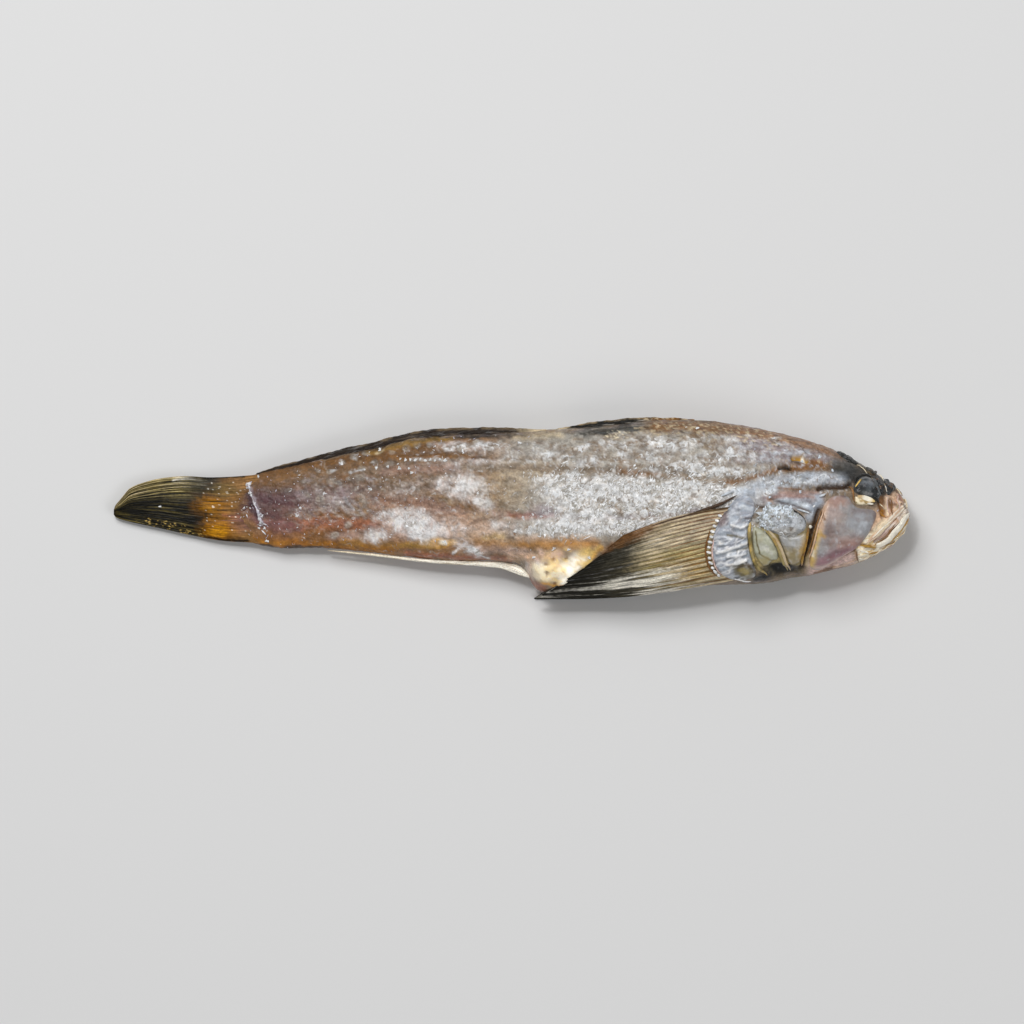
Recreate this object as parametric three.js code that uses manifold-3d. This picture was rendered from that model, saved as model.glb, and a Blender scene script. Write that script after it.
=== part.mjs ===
// A dried goby, whole, lying on its left side: one rigid piece of skin, flesh and dried fins.
// Millimetres. X runs from the tail to the snout, Y from the belly to the back, Z up from the table.
import * as THREE from "three";
import { mergeVertices } from "three/addons/utils/BufferGeometryUtils.js";
import Module from "manifold-3d";

// ---- Driving dimensions -------------------------------------------------------------------------

const TOTAL_LENGTH = 160; // tip of the tail fin to the snout
const HALF_THICK = 10.2; // the head's half thickness at its thickest
const FLAT_SINK = 0.55; // how far the round flank is pressed flat where it lies
const ROUNDNESS = 0.93; // 1 makes a body section a true ellipse, less makes it fuller
const PRESSED_ROUNDNESS = 0.8; // the same for the flank that the fish lies on
const RING_POINTS = 30; // points round the body
const TAIL_STATIONS = [14.62, 14.8, 15.1, 15.6, 16.4, 17.4]; // where the body's end rings stand
const SNOUT_STATIONS = [96, 97, 97.9, 98.7, 99.3, 99.7, 99.93];

// Every outline below is a list of [along, value] knots in percent of TOTAL_LENGTH, tail tip at 0.
const PERCENT = TOTAL_LENGTH / 100;

const BACK_EDGE = [
  [14.6, -0.4], [15.0, 1.2], [15.9, 2.5], [17.6, 3.6], [19.6, 4.1], [23.3, 4.9], [28.3, 6.0],
  [33.3, 7.0], [38.4, 8.2], [43.4, 8.6], [53.4, 9.0], [63.4, 9.9], [68.4, 10.4], [73.4, 10.4],
  [78.4, 9.8], [83.4, 8.8], [88.5, 7.4], [92.3, 5.8], [96, 3.6], [98.1, 1.9], [99.3, 0.4], [100, -1.5],
];
const BELLY_EDGE = [
  [14.6, -0.8], [15.0, -2.4], [15.9, -3.8], [17.6, -4.9], [19.6, -5.4], [21.8, -5.7], [24.6, -5.5],
  [29.6, -5.8], [35.8, -6.5], [40.9, -7.1], [50.6, -7.4], [52.2, -8.6], [53.2, -10.1], [54.2, -10.6],
  [56, -10.3], [60, -10.4], [66, -10.8], [73.4, -10.3], [80.9, -10.0], [85.9, -9.3], [90.4, -8.3],
  [93.3, -7.5], [96, -6.3], [98, -5.0], [99.3, -3.5], [100, -1.5],
];
// Height of the fish's own midplane, and how far the flesh bulges above and below it.
const MIDPLANE = [[0, 1.1], [10, 1.2], [17, 1.7], [30, 2.8], [50, 4.4], [70, 5.3], [85, 5.6], [100, 5.2]];
const BULGE = [
  [14.6, 0.5], [16, 0.85], [18, 1.3], [22, 1.7], [30, 2.5], [40, 3.6], [52, 4.6], [64, 5.5],
  [76, 6.1], [86, 6.2], [92, 5.4], [96, 4.1], [98.1, 3.0], [99.3, 1.9], [100, 0],
];
const TAIL_TOP = [
  [0, -0.9], [0.5, 0.25], [1.4, 1.5], [3.3, 2.4], [5.8, 3.1], [8.9, 3.45], [12, 3.3], [15.2, 3.4], [19, 3.7],
];
const TAIL_FOOT = [
  [0, -1.3], [0.5, -1.75], [1.8, -2.25], [5.8, -3.1], [9.8, -4.0], [13.8, -4.7], [17.1, -4.9], [19, -5.1],
];
// How far each folded fin stands out of the back or the belly.
const SECOND_DORSAL = [[18, 0.1], [23, 0.5], [28, 0.75], [36, 0.9], [44, 0.85], [50, 0.55], [55, 0.2]];
const FIRST_DORSAL = [[55.5, 0.1], [58, 0.45], [61, 0.65], [65, 0.6], [69, 0.35], [73, 0.1]];
const ANAL = [[27, 0.1], [35, 0.25], [43, 0.5], [48, 0.95], [50.6, 1.5], [52, 1.45], [52.8, 0.9]];

// The swellings and hollows of the head: their middle, their spread, and their height in millimetres.
const RELIEF = [
  { middle: [91.2, -3.6], spread: [4.4, 4.0], height: 0.9 }, // the cheek
  { middle: [86.4, -4.6], spread: [1.2, 4.6], height: -0.9 }, // the dip behind the cheek
  { middle: [82.6, -4.6], spread: [3.6, 4.4], height: -0.8 }, // the sunken gill cover
  { middle: [77.2, -4.8], spread: [2.6, 5.0], height: 0.7 }, // the muscle at the pectoral fin's root
  { middle: [94.0, 1.7], spread: [2.0, 2.0], height: -1.0 }, // the shrunken eye
];
// The furrows that shrinking leaves along the trunk: their place from its middle line, and their depth.
const FURROWS = [{ offset: 1.2, depth: 0.45 }, { offset: -2.6, depth: 0.4 }];
const FURROW_WIDTH = 0.9;
const FURROW_ENDS = { fadeIn: [30, 45], fadeOut: [74, 80] };

// The upper and lower outlines of the cheek and of the gill cover behind it.
const CHEEK = {
  top: [[86.9, -7.2], [87.8, -1.6], [89, 0.5], [91, 1.3], [93, 0.3], [94.6, -0.5], [95.7, -1.4]],
  foot: [[86.9, -8.9], [88.2, -7.9], [91, -6.3], [93.5, -5.2], [95.7, -2.4]],
};
const CHEEK_PROUD = 0.7;
const GILL_COVER = {
  top: [[79.4, -2.6], [80.4, -0.6], [82.5, 0.3], [85, 0.2], [86.6, -1.2]],
  foot: [[79.4, -4.6], [80.6, -7.2], [82.6, -9.0], [84.6, -9.3], [86.6, -9.0]],
};
const GILL_COVER_PROUD = 0.5;
const EYE = { along: 94.0, across: 1.7, radius: 2.7, rim: 0.55, tilt: 0.42, turn: 0.3, proud: 0.8 };
const MOUTH = { corner: [93.6, -5.0], front: [98.9, -1.6], halfWidth: 3.9, lip: 0.65, gape: 1.4 };
const PECTORAL = {
  rays: 17,
  baseTop: [76.6, -0.3], baseBulge: [74.2, -4.4], baseFoot: [78.0, -9.2], // the arc of the fin's root
  edgeTop: [62.0, -5.2], tip: [53.2, -12.0], edgeFoot: [64.0, -12.2], // the fin's rim
  thickness: 1.2,
  free: [0.985, 0.88], // the share of the half depth where it leaves the flank, at its root and rim
  lowest: [0.6, 2.0], // how low the lower and the upper fin's flap may fall
};
const PELVIC = { rays: 9, front: 77.5, rear: 64.5, spread: 0.42, thickness: 1.2, proud: 0.4 };
const FIN_THICKNESS = { secondDorsal: 1.4, firstDorsal: 1.6, anal: 1.1, ray: 0.2 };
const FIN_ROOT = 1.4; // how deep a folded fin's foot is buried, in percent

// ---- Small tools --------------------------------------------------------------------------------

// A smooth curve through knots, as a function: cubic pieces whose slopes come from the neighbours.
function curve(knots) {
  const slope = knots.map((k, i) => {
    const a = knots[Math.max(0, i - 1)];
    const b = knots[Math.min(knots.length - 1, i + 1)];
    return (b[1] - a[1]) / (b[0] - a[0]);
  });
  return (along) => {
    const x = THREE.MathUtils.clamp(along, knots[0][0], knots.at(-1)[0]);
    const i = Math.min(knots.length - 2, Math.max(0, knots.findIndex((k) => k[0] >= x) - 1));
    const [x0, y0] = knots[i];
    const [x1, y1] = knots[i + 1];
    const h = x1 - x0;
    const t = (x - x0) / h;
    const bend = slope[i] * h * t * (1 - t) ** 2 - slope[i + 1] * h * t * t * (1 - t);
    return y0 + (y1 - y0) * t * t * (3 - 2 * t) + bend;
  };
}

// A number that rises smoothly from 0 at a to 1 at b.
const rise = (x, a, b) => THREE.MathUtils.smoothstep(x, a, b);

// A round bump of height 1 in the middle, fading to 0 one unit away.
const bump = (x, y) => Math.max(0, 1 - x * x - y * y) ** 2;

// A closed geometry from rings of equal length, with a fan over each end.
function loft(rings) {
  const n = rings[0].length;
  const points = rings.flat();
  const faces = [];
  for (let i = 0; i + 1 < rings.length; i++)
    for (let j = 0; j < n; j++) {
      const a = i * n + j;
      const b = i * n + ((j + 1) % n);
      faces.push(a, a + n, b, b, a + n, b + n);
    }
  const centre = (ring) => ring.reduce((s, p) => s.add(p), new THREE.Vector3()).divideScalar(n);
  const start = points.push(centre(rings[0])) - 1;
  const end = points.push(centre(rings.at(-1))) - 1;
  const last = (rings.length - 1) * n;
  for (let j = 0; j < n; j++) {
    const k = (j + 1) % n;
    faces.push(start, j, k, end, last + k, last + j);
  }
  return new THREE.BufferGeometry().setFromPoints(points).setIndex(faces);
}

// A closed plate: place(u, v) is its middle surface, thick(u, v) its thickness there, along Z or Y.
function plate(nu, nv, place, thick, across = new THREE.Vector3(0, 0, 1)) {
  const rings = [];
  for (let i = 0; i <= nu; i++) {
    const over = [];
    const under = [];
    for (let j = 0; j <= nv; j++) {
      const p = place(i / nu, j / nv);
      const half = thick(i / nu, j / nv) / 2;
      over.push(p.clone().addScaledVector(across, half));
      under.unshift(p.clone().addScaledVector(across, -half));
    }
    rings.push([...over, ...under]);
  }
  return loft(rings);
}

// A round-sectioned roll along a path of points, with its radius at each share of the path.
function roll(path, radius, sides = 8) {
  const line = new THREE.CatmullRomCurve3(path);
  const steps = 16;
  const { normals, binormals } = line.computeFrenetFrames(steps);
  const rings = [];
  for (let i = 0; i <= steps; i++) {
    const centre = line.getPointAt(i / steps);
    const r = radius(i / steps);
    rings.push(
      Array.from({ length: sides }, (_, k) => {
        const a = (2 * Math.PI * k) / sides;
        return centre
          .clone()
          .addScaledVector(normals[i], r * Math.cos(a))
          .addScaledVector(binormals[i], r * Math.sin(a));
      }),
    );
  }
  return loft(rings);
}

const wasm = await Module();
wasm.setup();

// A geometry as a manifold solid, turned outside out if its faces point in.
function solid(geometry) {
  const bare = geometry.clone();
  bare.deleteAttribute("normal");
  bare.deleteAttribute("uv");
  const merged = mergeVertices(bare, 1e-4);
  const make = (index) =>
    new wasm.Manifold(
      new wasm.Mesh({ numProp: 3, vertProperties: merged.attributes.position.array, triVerts: index }),
    );
  const index = new Uint32Array(merged.index.array);
  const made = make(index);
  return made.volume() > 0 ? made : make(index.reverse());
}

// A manifold solid as a geometry with flat-shaded normals.
function geometryOf(manifold) {
  const mesh = manifold.getMesh();
  const geometry = new THREE.BufferGeometry()
    .setAttribute("position", new THREE.BufferAttribute(mesh.vertProperties, 3))
    .setIndex(new THREE.BufferAttribute(mesh.triVerts, 1))
    .toNonIndexed();
  geometry.computeVertexNormals();
  return geometry;
}

// ---- Body and head ------------------------------------------------------------------------------

const backEdge = curve(BACK_EDGE);
const bellyEdge = curve(BELLY_EDGE);
const midplane = curve(MIDPLANE);
const bulge = curve(BULGE);
const bulgeScale = HALF_THICK / (Math.max(...BULGE.map((k) => k[1])) * PERCENT);

// The height of a flank above the table at a place in percent: side is above 0 for the upper one.
function flank(along, across, side) {
  const middle = (backEdge(along) + bellyEdge(along)) / 2;
  const half = (backEdge(along) - bellyEdge(along)) / 2;
  const share = Math.min(Math.abs(across - middle) / half, 1) ** (1 / ROUNDNESS);
  const round = Math.sqrt(1 - share * share);
  const centre = midplane(along) * PERCENT;
  const thick = Math.max(bulge(along) * PERCENT * bulgeScale, 0.05);
  const out = relief(along, across) * Math.sqrt(round);
  if (side > 0) return centre + thick * round ** ROUNDNESS + out;
  return centre - Math.min(thick, centre + FLAT_SINK) * round ** PRESSED_ROUNDNESS - out;
}

// The relief of a flank, in millimetres, at a place given in percent of the length.
function relief(along, across) {
  const level = (bellyEdge(along) + backEdge(along)) / 2;
  const trunk = rise(along, ...FURROW_ENDS.fadeIn) * (1 - rise(along, ...FURROW_ENDS.fadeOut));
  let height = 0;
  for (const { offset, depth } of FURROWS)
    height -= trunk * depth * bump(0, (across - level - offset) / FURROW_WIDTH);
  for (const { middle, spread, height: peak } of RELIEF)
    height += peak * bump((along - middle[0]) / spread[0], (across - middle[1]) / spread[1]);
  return height;
}

// One ring round the body, from the back over the upper flank to the belly and back underneath.
function bodyRing(along) {
  const middle = (backEdge(along) + bellyEdge(along)) / 2;
  const half = (backEdge(along) - bellyEdge(along)) / 2;
  return Array.from({ length: RING_POINTS }, (_, k) => {
    const turn = (2 * Math.PI * k) / RING_POINTS;
    const share = Math.sign(Math.cos(turn)) * Math.abs(Math.cos(turn)) ** ROUNDNESS;
    const across = middle + half * share;
    return new THREE.Vector3(along * PERCENT, across * PERCENT, flank(along, across, Math.sin(turn)));
  });
}

function body() {
  const stations = [...TAIL_STATIONS];
  const snout = SNOUT_STATIONS[0];
  for (let along = 19; along < snout; along += along > 50 ? 1.4 : 2) stations.push(along);
  return loft([...stations, ...SNOUT_STATIONS].map(bodyRing));
}

// The height of a fin laid on a flank. From the share free of the half depth on, it leaves the flank
// and falls towards the table, down to its lowest.
function flapHeight(along, across, side, free, lowest) {
  const half = (backEdge(along) - bellyEdge(along)) / 2;
  const middle = (backEdge(along) + bellyEdge(along)) / 2;
  const inside = THREE.MathUtils.clamp(across, middle - free * half, middle + free * half);
  const over = Math.abs(across - inside) * PERCENT;
  return Math.max(flank(along, inside, side) - over, lowest);
}

// ---- Fins ---------------------------------------------------------------------------------------

// The small ridges of a fin's rays: 0 between two rays, 1 on a ray.
const ridge = (share, rays) => Math.sin(Math.PI * share * rays) ** 2;

function tailFin() {
  const top = curve(TAIL_TOP);
  const foot = curve(TAIL_FOOT);
  const root = TAIL_TOP.at(-1)[0];
  const rays = 12;
  const place = (u, v) => {
    const along = root * (1 - Math.cos((u * Math.PI) / 2)) + 0.02;
    const across = THREE.MathUtils.lerp(foot(along), top(along), v);
    return new THREE.Vector3(along * PERCENT, across * PERCENT, midplane(along) * PERCENT);
  };
  const thick = (u, v) => {
    const full = THREE.MathUtils.lerp(0.7, 2.6, u * u);
    return full * (1 - 0.65 * (2 * v - 1) ** 4) + 0.25 * ridge(v, rays);
  };
  return plate(9, 2 * rays, place, thick);
}

// A fin folded back along an edge of the body: side is 1 on the back and -1 on the belly.
function foldedFin(edge, height, side, thickness) {
  const first = height[0][0];
  const last = height.at(-1)[0];
  const stand = curve(height);
  const place = (u, v) => {
    const along = THREE.MathUtils.lerp(first, last, u);
    const across = edge(along) + side * THREE.MathUtils.lerp(-FIN_ROOT, stand(along), v);
    return new THREE.Vector3(along * PERCENT, across * PERCENT, midplane(along) * PERCENT);
  };
  const steps = Math.round((last - first) / 1.8);
  const thick = (u, v) => thickness * (1.4 - 0.9 * v) + FIN_THICKNESS.ray * ridge(u, steps / 2);
  return plate(steps, 3, place, thick);
}

// A point on a quadratic arc through three points, in percent.
function onArc(a, b, c, t) {
  const mix = (p, q, r) => {
    const pull = 2 * q - (p + r) / 2; // the handle that makes the arc pass through the middle point
    return (1 - t) ** 2 * p + 2 * t * (1 - t) * pull + t * t * r;
  };
  return [mix(a[0], b[0], c[0]), mix(a[1], b[1], c[1])];
}

// A pectoral fin: a fan of rays from an arc of root to its rim, lying on a flank.
function pectoralFin(side) {
  const p = PECTORAL;
  const place = (u, v) => {
    const [rootX, rootY] = onArc(p.baseTop, p.baseBulge, p.baseFoot, v);
    const [rimX, rimY] = onArc(p.edgeTop, p.tip, p.edgeFoot, v);
    const along = THREE.MathUtils.lerp(rootX, rimX, u);
    const across = THREE.MathUtils.lerp(rootY, rimY, u) + 0.6 * Math.sin(Math.PI * u) * (1 - v);
    const free = THREE.MathUtils.lerp(...p.free, u);
    const height = flapHeight(along, across, side, free, p.lowest[side > 0 ? 1 : 0]);
    return new THREE.Vector3(along * PERCENT, across * PERCENT, height);
  };
  const thick = (u, v) => p.thickness * (1.5 - 0.8 * u) + 0.4 * ridge(v, p.rays) * (1 - 0.5 * u);
  return plate(7, 2 * p.rays, place, thick);
}

// The pelvic fins, grown together into one fan that lies flat along the belly.
function pelvicDisc() {
  const p = PELVIC;
  const place = (u, v) => {
    const along = THREE.MathUtils.lerp(p.front, p.rear, u);
    const turn = p.spread * Math.sin(Math.PI * (0.12 + 0.68 * u)) * (2 * v - 1); // round from the belly
    const middle = (backEdge(along) + bellyEdge(along)) / 2;
    const half = (backEdge(along) - bellyEdge(along)) / 2;
    const across = middle - half * Math.cos(turn) ** ROUNDNESS;
    const height = flank(along, across, Math.sign(turn) || 1);
    return new THREE.Vector3(along * PERCENT, across * PERCENT - p.proud * u, height);
  };
  const thick = (u, v) => p.thickness + 0.3 * ridge(v, p.rays);
  return plate(6, 2 * p.rays, place, thick, new THREE.Vector3(0, 1, 0));
}

// ---- Head pieces --------------------------------------------------------------------------------

// The U of a lip, from the upper corner of the mouth round the snout to the lower one.
function lip(drop, reach, radius) {
  const m = MOUTH;
  const corner = new THREE.Vector2(...m.corner);
  const ahead = new THREE.Vector2(...m.front).sub(corner);
  const down = new THREE.Vector2(ahead.y, -ahead.x).normalize(); // across the mouth, towards the chin
  const path = [-90, -60, -30, 0, 30, 60, 90].map((degrees) => {
    const a = THREE.MathUtils.degToRad(degrees);
    const at = corner.clone().addScaledVector(ahead, Math.cos(a) * reach).addScaledVector(down, drop);
    const height = midplane(at.x) + m.halfWidth * Math.sin(a);
    return new THREE.Vector3(at.x, at.y, height).multiplyScalar(PERCENT);
  });
  return roll(path, (t) => radius * (0.3 + 0.7 * Math.sin(Math.PI * t)));
}

// The rim round a shrunken eye; side is 1 on the upper flank and -1 on the lower one.
function eyeRim(side) {
  const height = flank(EYE.along, EYE.across, side) + EYE.proud * side;
  return new THREE.TorusGeometry(EYE.radius, EYE.rim, 6, 16)
    .rotateX(-EYE.tilt * side)
    .rotateY(EYE.turn * side)
    .translate(EYE.along * PERCENT, EYE.across * PERCENT, height);
}

// A thin shield lying on a flank between two outlines, as the cheek and the gill cover do.
function shield({ top, foot }, side, proud) {
  const upper = curve(top);
  const lower = curve(foot);
  const first = top[0][0];
  const last = top.at(-1)[0];
  const place = (u, v) => {
    const along = THREE.MathUtils.lerp(first, last, u);
    const across = THREE.MathUtils.lerp(lower(along), upper(along), v);
    return new THREE.Vector3(along * PERCENT, across * PERCENT, flank(along, across, side));
  };
  return plate(7, 5, place, () => 2 * proud);
}

// ---- The whole fish -----------------------------------------------------------------------------

const pieces = [
  body(),
  tailFin(),
  foldedFin(backEdge, SECOND_DORSAL, 1, FIN_THICKNESS.secondDorsal),
  foldedFin(backEdge, FIRST_DORSAL, 1, FIN_THICKNESS.firstDorsal),
  foldedFin(bellyEdge, ANAL, -1, FIN_THICKNESS.anal),
  pectoralFin(1),
  pectoralFin(-1),
  pelvicDisc(),
  lip(-0.1, 1, MOUTH.lip * PERCENT),
  lip(MOUTH.gape, 1, MOUTH.lip * PERCENT),
  ...[1, -1].flatMap((side) => [
    eyeRim(side),
    shield(CHEEK, side, CHEEK_PROUD),
    shield(GILL_COVER, side, GILL_COVER_PROUD),
  ]),
];
const joined = pieces.map(solid).reduce((whole, piece) => whole.add(piece));

// The table side: whatever would reach below the table is pressed flat.
const block = new THREE.BoxGeometry(2 * TOTAL_LENGTH, TOTAL_LENGTH, TOTAL_LENGTH);
block.translate(TOTAL_LENGTH / 2, 0, -TOTAL_LENGTH / 2);
const cut = joined.subtract(solid(block));

// Flesh fills every pocket closed in under a fin or a gill cover.
const shape = geometryOf(wasm.Manifold.compose(cut.decompose().filter((part) => part.volume() > 0)));

const goby = new THREE.Mesh(
  shape,
  new THREE.MeshStandardMaterial({ color: 0x8f7f70, roughness: 0.55, metalness: 0 }),
);
goby.name = "goby";

// The origin is on the table, under the middle of the fish.
shape.computeBoundingBox();
const middle = shape.boundingBox.getCenter(new THREE.Vector3());
goby.position.set(-middle.x, -middle.y, -shape.boundingBox.min.z);

const fish = new THREE.Group();
fish.add(goby);

export default fish;
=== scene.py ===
"""A dried goby lying on its left side, seen from straight above.

Metres throughout. X runs from the tail to the snout, Y from the belly to the back, Z up from the table.
Places on the fish are given as (along, across) in percent of its length: along from the tip of the tail
to the snout, across from the fish's axis towards the back. Side is 1 for the right flank, which faces
up, and -1 for the left flank, which lies on the table.
"""
import math

import bpy
import numpy as np
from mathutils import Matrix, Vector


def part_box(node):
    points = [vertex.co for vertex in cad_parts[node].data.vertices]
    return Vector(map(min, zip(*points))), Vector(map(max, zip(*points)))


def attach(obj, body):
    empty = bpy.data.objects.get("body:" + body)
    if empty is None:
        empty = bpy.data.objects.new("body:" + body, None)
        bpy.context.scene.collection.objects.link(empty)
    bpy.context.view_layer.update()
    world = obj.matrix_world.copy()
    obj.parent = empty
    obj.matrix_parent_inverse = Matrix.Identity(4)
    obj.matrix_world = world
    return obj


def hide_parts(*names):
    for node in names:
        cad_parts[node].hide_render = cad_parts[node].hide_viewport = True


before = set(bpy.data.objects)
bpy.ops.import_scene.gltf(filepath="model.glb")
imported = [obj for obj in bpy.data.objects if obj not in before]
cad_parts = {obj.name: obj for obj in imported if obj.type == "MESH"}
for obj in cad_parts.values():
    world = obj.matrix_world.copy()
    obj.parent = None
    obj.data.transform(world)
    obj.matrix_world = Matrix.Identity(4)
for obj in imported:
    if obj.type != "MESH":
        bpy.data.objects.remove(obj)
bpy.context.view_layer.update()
LOW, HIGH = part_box("goby")
MM = 0.001

# ---- Driving outlines, the same as the solid's ----------------------------------------------------

ENDS = (0.02, 100.29)  # where the solid begins and ends, in percent
PERCENT = (HIGH.x - LOW.x) / (ENDS[1] - ENDS[0])
HALF_THICK = 10.2 * MM
FLAT_SINK = 0.55 * MM
ROUNDNESS = 0.93
PRESSED_ROUNDNESS = 0.8

BACK_EDGE = [
    (14.6, -0.4), (15.0, 1.2), (15.9, 2.5), (17.6, 3.6), (19.6, 4.1), (23.3, 4.9), (28.3, 6.0),
    (33.3, 7.0), (38.4, 8.2), (43.4, 8.6), (53.4, 9.0), (63.4, 9.9), (68.4, 10.4), (73.4, 10.4),
    (78.4, 9.8), (83.4, 8.8), (88.5, 7.4), (92.3, 5.8), (96, 3.6), (98.1, 1.9), (99.3, 0.4), (100, -1.5),
]
BELLY_EDGE = [
    (14.6, -0.8), (15.0, -2.4), (15.9, -3.8), (17.6, -4.9), (19.6, -5.4), (21.8, -5.7), (24.6, -5.5),
    (29.6, -5.8), (35.8, -6.5), (40.9, -7.1), (50.6, -7.4), (52.2, -8.6), (53.2, -10.1), (54.2, -10.6),
    (56, -10.3), (60, -10.4), (66, -10.8), (73.4, -10.3), (80.9, -10.0), (85.9, -9.3), (90.4, -8.3),
    (93.3, -7.5), (96, -6.3), (98, -5.0), (99.3, -3.5), (100, -1.5),
]
MIDPLANE = [(0, 1.1), (10, 1.2), (17, 1.7), (30, 2.8), (50, 4.4), (70, 5.3), (85, 5.6), (100, 5.2)]
BULGE = [
    (14.6, 0.5), (16, 0.85), (18, 1.3), (22, 1.7), (30, 2.5), (40, 3.6), (52, 4.6), (64, 5.5),
    (76, 6.1), (86, 6.2), (92, 5.4), (96, 4.1), (98.1, 3.0), (99.3, 1.9), (100, 0),
]
TAIL_TOP = [
    (0, -0.8), (0.2, -0.25), (0.8, 0.5), (1.4, 1.25), (2.0, 1.9), (3.3, 2.5), (5.8, 3.15), (8.9, 3.45),
    (12, 3.3), (15.2, 3.4), (19, 3.7),
]
TAIL_FOOT = [
    (0, -1.4), (0.3, -1.75), (1.8, -2.25), (5.8, -3.1), (9.8, -4.0), (13.8, -4.7), (17.1, -4.9), (19, -5.1),
]
SECOND_DORSAL = [(18, 0.1), (23, 0.5), (28, 0.75), (36, 0.9), (44, 0.9), (50, 0.65), (55, 0.2)]
FIRST_DORSAL = [(55.5, 0.1), (58, 0.45), (61, 0.65), (65, 0.6), (69, 0.35), (73, 0.1)]


def curve(knots):
    """A smooth curve through (along, value) knots, as a function of an array."""
    xs, ys = np.array(knots, float).T
    first, last = (ys[1] - ys[0]) / (xs[1] - xs[0]), (ys[-1] - ys[-2]) / (xs[-1] - xs[-2])
    inner = (ys[2:] - ys[:-2]) / (xs[2:] - xs[:-2])
    slope = np.concatenate([[first], inner, [last]])

    def at(x):
        x = np.clip(x, xs[0], xs[-1])
        i = np.clip(np.searchsorted(xs, x) - 1, 0, len(xs) - 2)
        h = xs[i + 1] - xs[i]
        t = (x - xs[i]) / h
        bend = slope[i] * h * t * (1 - t) ** 2 - slope[i + 1] * h * t * t * (1 - t)
        return ys[i] + (ys[i + 1] - ys[i]) * t * t * (3 - 2 * t) + bend

    return at


back_edge = curve(BACK_EDGE)
belly_edge = curve(BELLY_EDGE)
midplane = curve(MIDPLANE)
bulge = curve(BULGE)
BULGE_SCALE = HALF_THICK / max(b for _, b in BULGE)
first_dorsal = curve(FIRST_DORSAL)
tail_top = curve(TAIL_TOP)
tail_foot = curve(TAIL_FOOT)
# How far across the far side of the solid's box lies: the front dorsal fin touches it.
HIGHEST = max(back_edge(a) + first_dorsal(a) for a in np.arange(60, 76, 0.1))


def x_of(along):
    """X in metres of a place along."""
    return LOW.x + (along - ENDS[0]) * PERCENT


def y_of(across):
    """Y in metres of a place across."""
    return HIGH.y + (across - HIGHEST) * PERCENT


# ---- Noise and masks over points ------------------------------------------------------------------

LATTICE_SIZE = 64
LATTICE = np.random.default_rng(11).normal(size=(LATTICE_SIZE,) * 3 + (3,))
LATTICE /= np.linalg.norm(LATTICE, axis=-1, keepdims=True)


def noise(points, size, seed=0):
    """Smooth noise, about -1 to 1, with grains of that size: one number, or one for each axis."""
    q = points / np.asarray(size) + seed * 7.317
    cell = np.floor(q).astype(int)
    f = q - cell
    s = f * f * f * (f * (f * 6 - 15) + 10)
    total = np.zeros(len(points))
    for dx in (0, 1):
        for dy in (0, 1):
            for dz in (0, 1):
                corner = (cell + (dx, dy, dz)) % LATTICE_SIZE
                gradient = LATTICE[corner[:, 0], corner[:, 1], corner[:, 2]]
                weight = np.ones(len(points))
                for axis, d in enumerate((dx, dy, dz)):
                    weight *= s[:, axis] if d else 1 - s[:, axis]
                total += weight * np.einsum("ij,ij->i", gradient, f - (dx, dy, dz))
    return total * 1.6


def rough(points, size, seed=0, octaves=3, gain=0.5):
    """Noise with finer noise on it, about -1 to 1."""
    size = np.asarray(size, float)
    total = sum(gain**k * noise(points, size / 2**k, seed + 3 * k) for k in range(octaves))
    return total / sum(gain**k for k in range(octaves)) * 1.4


def along_noise(values, size, seed):
    """Noise over plain numbers."""
    flat = np.asarray(values, float)
    points = np.stack([flat.ravel(), 0 * flat.ravel(), 0 * flat.ravel()], -1)
    return noise(points, size, seed).reshape(flat.shape)


def rise(x, low, high):
    """0 below low, 1 above high, smooth between; the other way round if low is above high."""
    t = np.clip((x - low) / (high - low), 0, 1)
    return t * t * (3 - 2 * t)


def lerp(a, b, t):
    """From a to b as t goes from 0 to 1."""
    return a + (b - a) * t


class Place:
    """Points on the fish in percent, nudged by noise so that no painted edge is ruled."""

    def __init__(self, along, across, side, points, wobble=0.3):
        self.side = side
        self.points = points
        self.along = along + wobble * rough(points, 2.5 * MM, 5)
        self.across = across + wobble * rough(points, 2.5 * MM, 9)
        back, belly = back_edge(along), belly_edge(along)
        self.depth = np.clip((self.across - belly) / np.maximum(back - belly, 0.1), 0, 1)

    def in_spot(self, centre, radii, soft=0.5, tilt=0.0):
        """1 inside an ellipse, fading to 0 outside it; tilt in degrees lifts its front end."""
        c, s = math.cos(math.radians(tilt)), math.sin(math.radians(tilt))
        dx, dy = self.along - centre[0], self.across - centre[1]
        d = np.hypot((dx * c + dy * s) / radii[0], (dy * c - dx * s) / radii[1])
        return rise(d, 1 + soft, 1 - soft)

    def on_line(self, path, width, soft=1.0):
        """1 on a line through the points of path, fading to 0 at width from it."""
        nearest = np.full(len(self.along), 1e9)
        for (ax, ay), (bx, by) in zip(path, path[1:]):
            dx, dy = bx - ax, by - ay
            run = max(dx * dx + dy * dy, 1e-9)
            t = np.clip(((self.along - ax) * dx + (self.across - ay) * dy) / run, 0, 1)
            nearest = np.minimum(nearest, np.hypot(self.along - ax - t * dx, self.across - ay - t * dy))
        return rise(nearest, width, width * (1 - soft))

    def between(self, low, high, soft=1.5):
        """1 between two places along the fish."""
        return rise(self.along, low - soft, low + soft) * rise(self.along, high + soft, high - soft)


def linear(rgb):
    """A colour as it looks on a screen, 0 to 255, in the linear numbers that shaders use."""
    c = np.array(rgb) / 255
    return np.where(c <= 0.04045, c / 12.92, ((c + 0.055) / 1.055) ** 2.4)


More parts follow.
